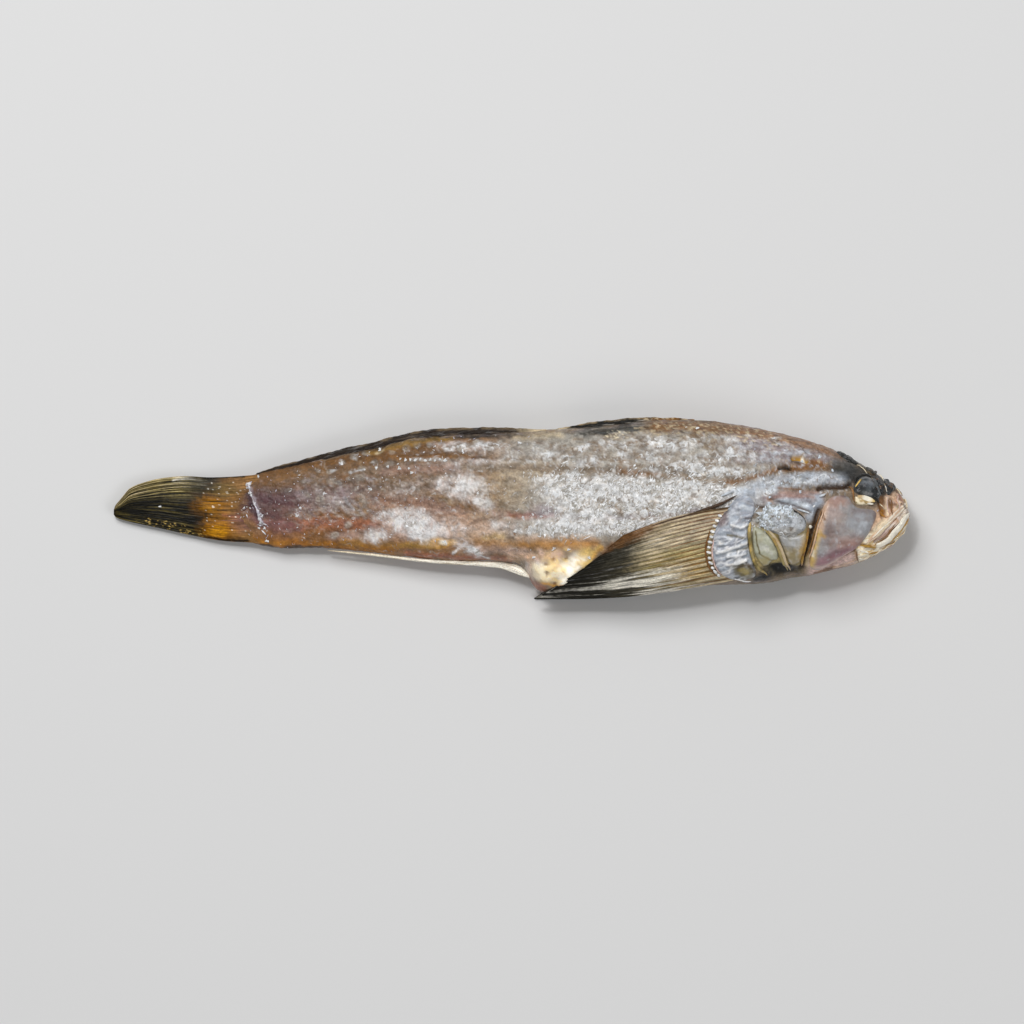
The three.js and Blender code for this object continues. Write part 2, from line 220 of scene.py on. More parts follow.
TONES = {
    "black": (16, 15, 11), "charcoal": (46, 44, 36), "slate": (80, 84, 86), "ink": (30, 32, 34),
    "umber": (66, 45, 28), "brown": (126, 86, 44), "tan": (158, 136, 102), "khaki": (160, 144, 94),
    "olive": (104, 92, 50), "ochre": (176, 136, 58), "amber": (152, 98, 0), "gold": (222, 186, 104),
    "rust": (122, 82, 44), "bronze": (134, 94, 48), "berry": (124, 86, 88), "orange": (180, 124, 50),
    "red": (152, 94, 72), "rose": (164, 128, 116), "pink": (194, 168, 158), "plum": (68, 46, 52),
    "violet": (118, 98, 95), "mauve": (152, 142, 146), "lilac": (198, 194, 208), "grey": (152, 150, 150),
    "stone": (176, 171, 162), "sand": (200, 182, 150), "cream": (244, 230, 198), "ivory": (252, 246, 230),
    "white": (238, 239, 240), "frost": (214, 213, 212), "honey": (200, 140, 26), "wine": (160, 116, 124),
    "reed": (166, 152, 120), "peach": (214, 178, 148), "glass": (182, 183, 162), "blush": (218, 188, 178),
    "blue": (166, 174, 186), "silver": (204, 211, 219), "buff": (184, 166, 140), "taupe": (134, 117, 98),
}


class Painter(Place):
    """Colour, salt bloom, wetness and grit at each point of a form, built up in washes."""

    def __init__(self, form, tone, frost=0.1, wet=0.5, wobble=0.3, grit=1.0):
        super().__init__(form.along, form.across, form.side, form.points, wobble)
        count = len(form.points)
        self.form = form
        self.grain = rough(form.points, 0.8 * MM, 13)
        self.paint = np.tile(linear(TONES[tone]), (count, 1))
        self.frost = np.full(count, float(frost))
        self.wet = np.full(count, float(wet))
        self.grit = np.full(count, float(grit))

    def lay(self, mask, tone=None, strength=1.0, ragged=1.8, **levels):
        """Moves the colour, and any named levels, towards new ones, with a ragged edge."""
        share = np.clip(mask + ragged * mask * (1 - mask) * self.grain, 0, 1) * strength
        if tone:
            self.paint += (linear(TONES[tone]) - self.paint) * share[:, None]
        for name, level in levels.items():
            layer = getattr(self, name)
            layer += (level - layer) * share

    def spot(self, centre, radii, tone=None, strength=1.0, tilt=0.0, soft=0.5, **levels):
        """A wash inside an ellipse."""
        self.lay(self.in_spot(centre, radii, soft, tilt), tone, strength, **levels)

    def line(self, path, width, tone=None, strength=1.0, soft=1.0, **levels):
        """A wash along a line."""
        self.lay(self.on_line(path, width, soft), tone, strength, **levels)

    def washes(self, table, ragged=1.0):
        """Soft strokes of colour: (tone, strength, half width, path)."""
        for tone, strength, width, path in table:
            self.lay(self.on_line(path if len(path) > 1 else path * 2, width), tone, strength, ragged)

    def mottle(self, tone, size, seed, low=0.1, high=0.6, strength=0.5, mask=1.0):
        """Patches of another tone where noise is high."""
        self.lay(rise(rough(self.points, np.asarray(size) * MM, seed), low, high) * mask, tone, strength)

    def scratch(self, seed, count, low, high, tones, length, width, slant, strength,
                depth=(0.04, 0.96), mask=None):
        """Short straight marks between two places along; sizes are ranges in percent."""
        rng = np.random.default_rng(seed)
        for k in range(count):
            along = rng.uniform(low, high)
            across = lerp(belly_edge(along), back_edge(along), rng.uniform(*depth))
            turn = math.radians(slant + 22 * rng.normal())
            half, thick = rng.uniform(*length) / 2, rng.uniform(*width)
            near = np.flatnonzero((np.abs(self.along - along) < 1) & (np.abs(self.across - across) < 1))
            dx, dy = self.along[near] - along, self.across[near] - across
            main = np.abs(dx * math.cos(turn) + dy * math.sin(turn))
            other = np.abs(dy * math.cos(turn) - dx * math.sin(turn))
            apart = np.hypot(np.maximum(main - half, 0), other)
            share = rise(apart, 1.4 * thick, 0.2 * thick) * strength * rng.uniform(0.4, 1)
            share = share if mask is None else share * mask[near]
            self.paint[near] += (linear(TONES[tones[k % len(tones)]]) - self.paint[near]) * share[:, None]

    def shade(self, amount):
        """Lightens the colour by a share of itself, or darkens it if below 0."""
        self.paint *= np.clip(1 + amount, 0.15, 2.0)[:, None]


# ---- The flank ------------------------------------------------------------------------------------

GROOVE_UPPER = [
    (44, 4.6), (57, 4.4), (66, 3.7), (70, 3.6), (76.2, 2.8), (79.3, 3.0), (83.3, 4.3), (88, 4.8), (91, 4.4),
]
GROOVE_MIDDLE = [(33, 0.1), (42, -0.6), (48, -0.8), (52, -1.4), (60, -1.8), (68, -1.7), (73, -0.9)]
GROOVE_TOP = [(36, 6.2), (41, 6.4), (47, 6.0), (60, 5.2)]
SLIT = [(83.4, 4.45), (84.1, 4.5), (84.7, 4.4)]
EAR_HOLE = [(85.1, 5.6), (86.0, 5.55), (86.8, 5.3)]
BROW_LINE = [(88.2, 1.8), (89.3, 2.0), (90.4, 2.05), (91.4, 2.05), (92.2, 2.3)]
CHEEK_SEAM = [
    (88.35, -0.8), (88.0, -1.8), (87.6, -3.0), (87.3, -4.2), (87.05, -5.3), (86.6, -6.6), (86.4, -8.3),
]
GILL_FOLD = [(79.4, 0.1), (80.2, -0.1), (80.8, -0.5), (81.6, -0.65)]
UPPER_FOLD = [(82.2, 0.6), (83.6, 0.1), (85.2, -0.25), (86.2, -0.6), (87.2, -1.1)]
SNOUT_FOLD = [(95.9, 0.1), (96.2, -0.8), (96.4, -1.8)]
MOUTH_SLIT = [(98.9, -1.2), (98.0, -1.9), (97.1, -2.9), (96.3, -3.9), (95.5, -4.8)]
CHIN_SLIT = [(98.6, -2.2), (97.7, -3.3), (96.8, -4.4), (95.6, -5.3)]
SCAR = [
    (16.9, 2.5), (17.3, 2.0), (17.25, 1.4), (17.65, 0.7), (17.75, 0.1), (18.15, -0.6), (18.45, -1.3),
    (18.55, -1.9), (18.95, -2.5),
]
FOREHEAD_CRACK = [(93.1, 4.6), (93.9, 4.3), (94.5, 3.5), (95.1, 2.9), (95.3, 1.9), (95.6, 1.0)]
BREAST_PITS = [
    (55.3, -6.8), (56.9, -6.9), (54.5, -8.5), (55.5, -9.5), (50.4, -3.8), (54.4, -7.4), (50.2, -1.6),
]


FROST_BANDS = [
    ([(57.5, 1.6), (65, 1.2)], 2.8, 1.0), ([(66, 1.6), (76, 1.6)], 2.0, 0.3),
    ([(55, -3.0), (65, -2.6)], 1.9, 1.0), ([(55, 6.0), (62, 6.0)], 1.0, 0.7),
    ([(64, 7.4), (70, 7.6)], 1.4, 0.7), ([(73, 6.2), (80, 5.6)], 1.8, 0.65),
    ([(82, 2.4), (90, 3.2)], 0.9, 0.4), ([(80, 1.6), (82, 1.4)], 0.9, 0.5),
    ([(75.6, 1.2), (77.6, 1.2)], 0.6, 0.5), ([(83, 6.5), (88, 6.4)], 0.6, 0.25),
    ([(79, 8.4), (83.6, 8.0)], 0.35, 0.6), ([(78.4, 0.2), (78.4, 1.4)], 0.9, 0.3),
    ([(50, 5.4), (55, 5.8)], 1.3, 0.4), ([(42, 7.0), (50, 7.4)], 0.8, 0.3),
    ([(44.0, -5.3), (46.4, -6.2)], 0.5, 0.35), ([(51.0, -3.3), (54, -3.3)], 1.1, 0.4),
    ([(43.4, 2.4), (46, 1.4)], 1.1, 0.25), ([(37, -2.4), (39, -3.0)], 1.2, 0.25),
]


BLOOM = [
    ((44.4, 2.0), (2.8, 1.5), -12, 0.95), ((46.9, -0.2), (1.5, 0.7), -35, 0.85),
    ((36.6, -1.5), (3.0, 0.9), 5, 0.8), ((38.0, -3.1), (2.4, 1.3), -20, 0.95),
    ((33.0, -4.0), (1.6, 0.9), 0, 0.85), ((41.5, 7.6), (2.2, 0.5), 0, 0.35),
    ((47, 7.0), (4.0, 0.7), 0, 0.4), ((45.5, 5.0), (3.2, 0.6), 0, 0.6), ((52, 5.4), (3.0, 1.0), 0, 0.6),
    ((45.0, -5.7), (2.2, 0.7), -20, 0.7), ((52.4, -3.3), (2.0, 1.0), 0, 0.8),
    ((48.4, -2.8), (0.9, 0.7), 0, 0.8), ((41, -3.4), (3.6, 1.4), 0, 0.5), ((53, -7.9), (1.2, 1.2), 0, 0.6),
    ((37.5, 1.8), (3.4, 1.2), 0, 0.25), ((50.6, 2.6), (2.4, 1.6), 0, 0.15),
    ((28, 0.2), (2.6, 0.7), -30, 0.35),
]


def frostiness(p):
    """How thick the crust of salt crystals is, 0 to 1."""
    flank = p.between(54, 79, 5) * rise(p.across, -4.6, -3.4) * rise(p.depth, 0.97, 0.88)
    f = 0.6 * flank
    for path, reach, level in FROST_BANDS:
        f = np.maximum(f, level * p.on_line(path, reach))
    f *= 1 - 0.75 * p.on_line(GROOVE_UPPER, 1.0) - 0.5 * p.on_line(GROOVE_MIDDLE, 0.8)
    f *= 1 - 0.75 * p.in_spot((53.8, -1.0), (2.4, 0.9), 0.6)
    f *= 1 - 0.9 * p.in_spot((85.4, 5.0), (2.2, 0.9), 0.5)
    f *= 1 - 0.5 * rise(p.across, 3.6, 4.8) * p.between(50, 90)
    streaks = rough(p.points, (4.0 * MM, 2.2 * MM, 3 * MM), 45)
    return np.clip(f * (0.95 + 1.7 * streaks), 0, 1)


def bloom(p):
    """Where the flesh itself has gone pale and cloudy, 0 to 1."""
    cloud = sum(level * p.in_spot(centre, radii, 0.9, tilt) for centre, radii, tilt, level in BLOOM)
    return rise(cloud * (1 + 1.2 * rough(p.points, (1.7 * MM, 2.2 * MM, 2 * MM), 47, 4, 0.65)), 0.0, 1.2)


def crust_grain(p):
    """The lumps of the salt crust, about -1 to 1, which both raise it and whiten it."""
    return rough(p.points, (1.5 * MM, 1.2 * MM, 1.2 * MM), 35, 3, 0.6)


def flake_layout():
    """Middle, half length, half width, tilt and paleness of each curled flake of salted skin."""
    rng = np.random.default_rng(23)
    flakes = []
    for row in np.arange(21, 86, 0.9):
        for share in np.arange(0.04, 1, 0.062):
            along = row + rng.uniform(-0.6, 0.6)
            across = lerp(belly_edge(along), back_edge(along), share + rng.uniform(-0.04, 0.04))
            long = rng.uniform(0.35, 0.75)
            wide = long * rng.uniform(0.45, 0.9)
            flakes.append((along, across, long, wide, rng.uniform(20, 80), rng.random()))
    return flakes


def flake_field(p):
    """For each point: how far out on its flake, 1 at the rim; how pale the flake; how far up on it."""
    count = len(p.along)
    reach, pale, up = np.full(count, 3.0), np.zeros(count), np.zeros(count)
    for along, across, long, wide, tilt, paleness in flake_layout():
        near = np.flatnonzero((np.abs(p.along - along) < 2) & (np.abs(p.across - across) < 2))
        c, s = math.cos(math.radians(tilt)), math.sin(math.radians(tilt))
        dx, dy = p.along[near] - along, p.across[near] - across
        d = np.hypot((dx * c + dy * s) / long, (dy * c - dx * s) / wide)
        closer = d < reach[near]
        chosen = near[closer]
        reach[chosen] = d[closer]
        pale[chosen] = paleness
        up[chosen] = (dy / np.maximum(np.hypot(dx, dy), 1e-6))[closer]
    return reach, pale, up


def relief(p):
    """How far the shrunken flesh stands out of the smooth flank, in metres."""
    right = p.side > 0
    trunk = p.between(34, 82, 5)
    out = 0.30 * rough(p.points, (16 * MM, 5 * MM, 9 * MM), 21) * trunk
    out += 0.20 * rough(p.points, (6 * MM, 2.5 * MM, 3 * MM), 23)
    out += 0.10 * rough(p.points, 1.2 * MM, 31)
    out -= 0.5 * p.on_line(GROOVE_UPPER, 1.0) + 0.35 * p.on_line(GROOVE_MIDDLE, 0.9)
    out -= 0.3 * p.on_line(GROOVE_TOP, 0.8)
    out -= 1.0 * right * p.on_line(SLIT, 0.35) + 1.1 * right * p.on_line(EAR_HOLE, 0.5)
    out -= 0.8 * p.on_line(BROW_LINE, 0.45) + 0.9 * p.on_line(CHEEK_SEAM, 0.7)
    out -= 0.6 * p.on_line(GILL_FOLD, 0.4) + 0.35 * p.on_line(UPPER_FOLD, 0.35)
    out -= 0.5 * p.on_line(SNOUT_FOLD, 0.45) + 0.5 * p.on_line(MOUTH_SLIT, 0.45)
    out -= 0.2 * p.on_line(CHIN_SLIT, 0.35) + 0.25 * p.on_line(FOREHEAD_CRACK, 0.25)
    out -= 0.9 * p.in_spot((82.0, -6.2), (2.4, 2.4), 0.6) + 1.3 * p.in_spot((84.0, -8.6), (2.2, 0.7), 0.6)
    out += 0.4 * p.in_spot((84, 5.4), (5, 2.4), 0.8) + 0.35 * p.in_spot((86, 3.0), (5, 0.8), 0.7)
    out += 1.0 * p.in_spot((55.2, -9.3), (2.4, 2.3), 0.9) * rise(p.along + 1.2 * p.across, 48.6, 46.6)
    out += 0.28 * right * p.on_line(SCAR, 0.3)
    for pit in BREAST_PITS:
        out -= 0.25 * p.in_spot(pit, (0.3, 0.25), 0.6)
    snout = rise(p.along, 95.5, 97.5)
    out += 0.22 * snout * rough(p.points, 1.6 * MM, 37)
    out += 0.18 * frostiness(p) * crust_grain(p)
    return out * MM


def section(along, turn):
    """The smooth body section: across in percent and height in metres, at a turn from the back."""
    back, belly = back_edge(along), belly_edge(along)
    c, s = np.cos(turn), np.sin(turn)
    across = (back + belly) / 2 + (back - belly) / 2 * np.sign(c) * np.abs(c) ** ROUNDNESS
    centre = midplane(along) * PERCENT
    thick = bulge(along) * BULGE_SCALE
    under = np.minimum(thick, centre + FLAT_SINK)
    rounded = np.where(s > 0, thick * np.abs(s) ** ROUNDNESS, -under * np.abs(s) ** PRESSED_ROUNDNESS)
    return across, centre + rounded


def turn_of(along, across, side):
    """The turn from the back at which a flank reaches a place across."""
    back, belly = back_edge(along), belly_edge(along)
    share = np.clip((across - (back + belly) / 2) / ((back - belly) / 2), -0.9999, 0.9999)
    turn = np.arccos(np.sign(share) * np.abs(share) ** (1 / ROUNDNESS))
    return np.where(side > 0, turn, 2 * np.pi - turn)


def bare(along, turn):
    """Points in metres on the smooth body section."""
    across, height = section(along, turn)
    return np.stack([x_of(along), y_of(across), height], -1)


def outward(along, turn):
    """The smooth flank's unit normal."""
    da, dt = 0.15, 0.02
    a = bare(along + da, turn) - bare(along - da, turn)
    t = bare(along, turn + dt) - bare(along, turn - dt)
    n = np.cross(t, a)
    return n / np.maximum(np.linalg.norm(n, axis=-1, keepdims=True), 1e-12)


def rest(points):
    """Presses flat what would reach into the table."""
    z = points[..., 2]
    soft = 0.5 * MM
    points[..., 2] = np.where(z > soft, z, soft * np.exp(np.minimum(z - soft, 0) / soft))
    return points


def on_flank(along, across, side, lift=0.0):
    """Points at a lift in metres over the fleshed flank, and the flank's normals there."""
    along, across, side = np.broadcast_arrays(np.asarray(along, float), across, side)
    turn = turn_of(along, across, side)
    base, normal = bare(along, turn), outward(along, turn)
    flat = base.reshape(-1, 3)
    place = Place(along.ravel(), across.ravel(), side.ravel(), flat, wobble_at(along.ravel()))
    out = relief(place).reshape(along.shape)
    return rest(base + normal * (out + lift)[..., None]), normal


def wobble_at(along):
    """Painted edges wander on the trunk and are crisper on the head."""
    return lerp(0.3, 0.08, rise(along, 76, 82))


# ---- Meshes ---------------------------------------------------------------------------------------

class Form:
    """A closed surface lofted over rings of points, with other numbers known at each point."""

    def __init__(self, rings, **known):
        self.count, self.width = rings.shape[:2]
        self.points = self.flatten(rings)
        for name, values in known.items():
            setattr(self, name, self.flatten(np.broadcast_to(values, rings.shape[:2])))

    def flatten(self, values):
        """A list of one value for each point, with the mean of each end last."""
        flat = values.reshape((self.count * self.width,) + values.shape[2:])
        return np.concatenate([flat, [values[0].mean(0), values[-1].mean(0)]])

    def faces(self):
        """Quads round the loft and a fan of triangles at each end, facing outwards."""
        n, points = self.width, self.points
        i, j = np.meshgrid(np.arange(self.count - 1), np.arange(n), indexing="ij")
        a, b = i * n + j, i * n + (j + 1) % n
        quads = np.stack([a, b, b + n, a + n], -1).reshape(-1, 4)
        k, next_k = np.arange(n), (np.arange(n) + 1) % n
        first, last, foot = self.count * n, self.count * n + 1, (self.count - 1) * n
        caps = [[np.full(n, first), next_k, k], [np.full(n, last), foot + k, foot + next_k]]
        fans = np.concatenate([np.stack(cap, -1) for cap in caps])
        tri = np.concatenate([quads[:, :3], quads[:, [0, 2, 3]], fans])
        corners = points[tri] - points.mean(0)
        volume = np.einsum("ij,ij->i", corners[:, 0], np.cross(corners[:, 1], corners[:, 2])).sum()
        if volume < 0:
            quads, fans = quads[:, ::-1], fans[:, ::-1]
        return quads.tolist() + fans.tolist()


class Batch:
    """Several painted forms of one kind, built as one mesh."""

    def __init__(self):
        self.points, self.faces, self.layers, self.count = [], [], {}, 0

    def add(self, painter, **extra):
        """Takes in a painted form, with any extra numbers at its points."""
        form = painter.form
        layers = {name: getattr(painter, name) for name in ("paint", "frost", "wet", "grit")} | extra
        self.faces += [[i + self.count for i in face] for face in form.faces()]
        self.points.append(form.points)
        self.count += len(form.points)
        for name, values in layers.items():
            self.layers.setdefault(name, []).append(values)
        return self

    def build(self, name, material, slot):
        """Builds the mesh of all the forms."""
        layers = {key: np.concatenate(values) for key, values in self.layers.items()}
        return build(name, np.concatenate(self.points), self.faces, material, slot, **layers)


def build(name, points, faces, material, slot, smooth=True, **layers):
    """A piece that rides on the fish, with its colour and other numbers as mesh attributes."""
    mesh = bpy.data.meshes.new(name)
    mesh.from_pydata(points.tolist(), [], faces)
    for key, values in layers.items():
        values = np.asarray(values, np.float32)
        if key == "paint":
            rgba = np.concatenate([values, np.ones((len(values), 1), np.float32)], 1)
            mesh.attributes.new(key, "FLOAT_COLOR", "POINT").data.foreach_set("color", rgba.ravel())
        elif values.ndim == 2:
            mesh.attributes.new(key, "FLOAT_VECTOR", "POINT").data.foreach_set("vector", values.ravel())
        else:
            mesh.attributes.new(key, "FLOAT", "POINT").data.foreach_set("value", np.clip(values, 0, 1))
    if smooth:
        mesh.shade_smooth()
    mesh.materials.append(material)
    piece = bpy.data.objects.new(name, mesh)
    bpy.context.scene.collection.objects.link(piece)
    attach(piece, "root")
    return piece


def soften(path, closed=False, rounds=3):
    """Cuts the corners of a path until it reads as a curve."""
    p = np.array(path, float)
    for _ in range(rounds):
        a, b = (p, np.roll(p, -1, 0)) if closed else (p[:-1], p[1:])
        cut = np.stack([0.75 * a + 0.25 * b, 0.25 * a + 0.75 * b], 1).reshape(-1, p.shape[1])
        p = cut if closed else np.concatenate([p[:1], cut, p[-1:]])
    return p


def resample(path, count, closed=False):
    """Points at even steps along a path in its first two columns."""
    p = np.concatenate([path, path[:1]]) if closed else path
    run = np.concatenate([[0], np.cumsum(np.hypot(*np.diff(p[:, :2], axis=0).T))])
    at = np.linspace(0, run[-1], count, endpoint=not closed)
    return np.stack([np.interp(at, run, column) for column in p.T], -1)


def path_length(path):
    """Length of a path in its first two columns."""
    return np.hypot(*np.diff(np.array(path, float)[:, :2], axis=0).T).sum()


def roll(path, side, lift=0.0, flat=0.6, around=10, step=0.12):
    """A rounded ridge along a path of (along, across, half width), tapered to its ends."""
    p = resample(soften(path), max(8, int(path_length(path) / step)))
    t = np.linspace(-1, 1, len(p))
    centre, normal = on_flank(p[:, 0], p[:, 1], side, lift)
    tangent = np.gradient(centre, axis=0)
    sideways = np.cross(normal, tangent)
    sideways /= np.linalg.norm(sideways, axis=-1, keepdims=True)
    width = (p[:, 2] * np.sqrt(np.clip(1 - t**6, 0.03, 1)) * PERCENT)[:, None, None]
    turn = np.linspace(0, 2 * np.pi, around, endpoint=False)[None, :, None]
    offset = np.cos(turn) * sideways[:, None] + flat * np.sin(turn) * normal[:, None]
    rings = rest(centre[:, None] + width * offset)
    across = p[:, 1:2] + 0 * turn[..., 0]
    return Form(rings, along=p[:, :1], across=across, side=np.full_like(across, side), turn=turn[..., 0])


FAR = 9.0  # metres up or down, where the noise on one side's plates differs from the other's


def patch(outline, side, lift, dome=0.0, sink=0.8, crinkle=0.0, grain=1.2, rings=26, around=96,
          folds=(), pleat=0.0):
    """A plate lying on the flank inside an outline, with raised folds and pleats; heights in millimetres."""
    rim = resample(soften(outline, True), around, True)
    centre = rim.mean(0)
    u = np.linspace(0.04, 1, rings)[:, None] ** 0.85
    along, across = (centre[k] + (rim[None, :, k] - centre[k]) * u for k in (0, 1))
    rounded = np.sqrt(np.clip(1 - u**9, 0, 1))
    height = (lift + dome * (1 - u**2)) * rounded - sink * (1 - rounded)
    x, y = x_of(along), y_of(across)
    points = np.stack([x, y, np.full_like(x, side * FAR)], -1).reshape(-1, 3)
    ripple = crinkle * rough(points, grain * MM, 81).reshape(x.shape) * np.clip((1 - u) * 8, 0, 1)
    still = Place(along.ravel(), across.ravel(), np.ones(along.size), points, 0.0)
    for path, wide in folds:
        ripple = ripple + 0.3 * still.on_line(path, wide * 1.3).reshape(x.shape)
    if pleat:
        ripple = ripple + pleat * pleats(points).reshape(x.shape)
    over, _ = on_flank(along, across, side, (height + ripple) * MM)
    under, _ = on_flank(along, across, side, (np.full_like(x, -sink) - 0.4 * (1 - u)) * MM)
    both = lambda grid: np.concatenate([grid, grid[::-1]])
    sides = np.full((2 * rings, around), side)
    shell = np.concatenate([over, under[::-1]])
    return Form(shell, along=both(along), across=both(across), u=both(u + 0 * x), side=sides)


# ---- Materials ------------------------------------------------------------------------------------

class Graph:
    """Short hand for one material's nodes."""

    def __init__(self, name):
        self.material = bpy.data.materials.new(name)
        self.material.use_nodes = True
        self.nodes = self.material.node_tree.nodes
        self.shader = self.nodes["Principled BSDF"]
        self.object = self.add("ShaderNodeTexCoord").outputs["Object"]

    def put(self, socket, value):
        """Links or sets one input."""
        if isinstance(value, bpy.types.NodeSocket):
            self.material.node_tree.links.new(value, socket)
        elif isinstance(value, (tuple, list, np.ndarray)) and socket.type == "RGBA":
            socket.default_value = (*value[:3], 1)
        else:
            socket.default_value = value

    def add(self, kind, inputs=(), **settings):
        """A new node with its inputs and settings."""
        node = self.nodes.new(kind)
        for key, value in settings.items():
            setattr(node, key, value)
        for key, value in dict(inputs).items():
            self.put(node.inputs[key], value)
        return node

    def attribute(self, name, output="Fac"):
        return self.add("ShaderNodeAttribute", attribute_name=name).outputs[output]

    def mapped(self, size, stretch, turn, source):
        scale = [1 / (size * s) for s in stretch]
        vector = source or self.object
        if turn:
            spun = self.add("ShaderNodeMapping", {"Vector": vector, "Rotation": (0, 0, math.radians(turn))})
            vector = spun.outputs["Vector"]
        return self.add("ShaderNodeMapping", {"Vector": vector, "Scale": scale}).outputs["Vector"]

    def noise(self, size, detail=3.0, roughness=0.55, stretch=(1, 1, 1), turn=0, source=None,
              distortion=0.0):
        inputs = {
            "Vector": self.mapped(size, stretch, turn, source), "Scale": 1.0, "Detail": detail,
            "Roughness": roughness, "Distortion": distortion,
        }
        return self.add("ShaderNodeTexNoise", inputs).outputs["Fac"]

    def math(self, operation, a, b=0.0, c=0.0, clamp=False):
        node = self.add("ShaderNodeMath", operation=operation, use_clamp=clamp)
        for socket, value in zip(node.inputs, (a, b, c)):
            self.put(socket, value)
        return node.outputs[0]

    def steps(self, value, low, high, to_low=0.0, to_high=1.0):
        inputs = {"Value": value, "From Min": low, "From Max": high, "To Min": to_low, "To Max": to_high}
        return self.add("ShaderNodeMapRange", inputs, interpolation_type="SMOOTHSTEP").outputs["Result"]

    def curls(self, size, stretch, turn):
        """Rings of small curled flakes: their lit upper edges and the shade under their lower ones."""
        plain = self.mapped(size, (1, 1, 1), 0, None)
        shift = self.add("ShaderNodeTexNoise", {"Vector": plain, "Scale": 1.3}).outputs["Color"]
        flat = self.mapped(size, stretch, turn, None)
        vector = self.vector("MULTIPLY_ADD", shift, (0.9, 0.9, 0.9), flat)
        cells = self.add("ShaderNodeTexVoronoi", {"Vector": vector, "Scale": 1.0})
        away = self.vector("SUBTRACT", vector, cells.outputs["Position"])
        up = self.add("ShaderNodeSeparateXYZ", {"Vector": away}).outputs["Y"]
        near = self.math("ABSOLUTE", self.math("SUBTRACT", cells.outputs["Distance"], 0.4))
        ring = self.steps(near, 0.11, 0.03)
        lit = self.math("MULTIPLY", ring, self.steps(up, -0.1, 0.25))
        dim = self.math("MULTIPLY", ring, self.steps(up, 0.1, -0.25))
        return lit, dim

    def vector(self, operation, a, b, c=(0, 0, 0)):
        node = self.add("ShaderNodeVectorMath", operation=operation)
        for socket, value in zip(node.inputs, (a, b, c)):
            self.put(socket, value)
        return node.outputs["Vector"]

    def mix(self, factor, a, b, blend="MIX"):
        node = self.add("ShaderNodeMix", data_type="RGBA", blend_type=blend)
        for index, value in ((0, factor), (6, a), (7, b)):
            self.put(node.inputs[index], value)
        return node.outputs[2]

    def scaled(self, colour, shade):
        grey = self.add("ShaderNodeCombineColor", {0: shade, 1: shade, 2: shade}).outputs[0]
        return self.mix(1.0, colour, grey, "MULTIPLY")

    def bump(self, height, distance, strength=1.0, normal=None):
        inputs = {"Height": height, "Distance": distance, "Strength": strength}
        if normal:
            inputs["Normal"] = normal
        return self.add("ShaderNodeBump", inputs).outputs["Normal"]

    def set(self, **sockets):
        for key, value in sockets.items():
            self.put(self.shader.inputs[key.replace("_", " ")], value)
        return self.material


# Salt's tones: its crust in shade and in light, its curls in shade and in light, its dust on the fins.
CRUST_DIM, CRUST_LIT = (176, 172, 166), (222, 221, 220)
CURL_DIM, CURL_LIT = (116, 98, 80), (236, 238, 240)
FIN_DUST = (214, 214, 214)


def flesh_material(name):
    """Dried skin: mottled and wrinkled, with salt bloomed where the frost attribute asks for it."""
    g = Graph(name)
    paint, frost, wet = g.attribute("paint", "Color"), g.attribute("frost"), g.attribute("wet")
    grit = g.attribute("grit")
    broad = g.noise(1.3 * MM, 4, 0.62, (1.3, 0.9, 1))
    fine = g.noise(0.42 * MM, 4, 0.65)
    mottled = g.scaled(paint, g.steps(broad, 0.28, 0.72, 0.7, 1.3))
    mottled = g.scaled(mottled, g.steps(fine, 0.28, 0.72, 0.8, 1.2))
    colour = g.mix(grit, paint, mottled)
    warm = g.steps(g.noise(2.2 * MM, 3, 0.6, (1, 1, 1), 33), 0.5, 0.72, 0, 0.35)
    colour = g.mix(warm, colour, g.mix(1.0, colour, (1.0, 0.86, 0.68), "MULTIPLY"))
    # Salt bloom: crystals in short slanting strokes.
    needles = g.noise(0.5 * MM, 3, 0.6, (0.6, 2.2, 0.9), 28, distortion=0.6)
    crossed = g.noise(0.5 * MM, 3, 0.6, (0.6, 1.8, 0.9), -24, distortion=0.6)
    clumps = g.noise(1.6 * MM, 3, 0.6)
    grain = g.math("MULTIPLY", g.math("MAXIMUM", needles, crossed), 0.62)
    grain = g.math("ADD", grain, g.math("MULTIPLY", clumps, 0.38))
    level = g.math("SUBTRACT", 0.76, g.math("MULTIPLY", frost, 0.40))
    salty = g.math("DIVIDE", g.math("SUBTRACT", grain, level), 0.2, clamp=True)
    white = g.mix(g.steps(needles, 0.4, 0.75), linear(CRUST_DIM), linear(CRUST_LIT))
    colour = g.mix(g.math("MULTIPLY", salty, 0.45), colour, white)
    lit, dim = g.curls(2.3 * MM, (0.75, 1.15, 1.1), 30)
    curled = g.steps(frost, 0.08, 0.32)
    colour = g.mix(g.math("MULTIPLY", g.math("MULTIPLY", dim, curled), 0.7), colour, linear(CURL_DIM))
    colour = g.mix(g.math("MULTIPLY", g.math("MULTIPLY", lit, curled), 0.9), colour, linear(CURL_LIT))
    # Relief finer than the mesh.
    wrinkles = g.noise(0.8 * MM, 5, 0.62, (0.8, 1.2, 1))
    normal = g.bump(wrinkles, 0.26 * MM, g.math("ADD", 0.2, g.math("MULTIPLY", grit, 0.75)))
    normal = g.bump(fine, 0.09 * MM, g.math("MULTIPLY", grit, 0.8), normal)
    normal = g.bump(salty, 0.09 * MM, 0.8, normal)
    normal = g.bump(g.math("MULTIPLY", lit, curled), 0.1 * MM, 0.8, normal)
    gloss = g.math("SUBTRACT", 0.72, g.math("MULTIPLY", wet, 0.42))
    coat = g.math("MULTIPLY", wet, 0.55)
    return g.set(Base_Color=colour, Roughness=gloss, Normal=normal, Specular_IOR_Level=0.18,
                 Coat_Weight=coat, Coat_Roughness=0.16, Coat_Normal=normal)


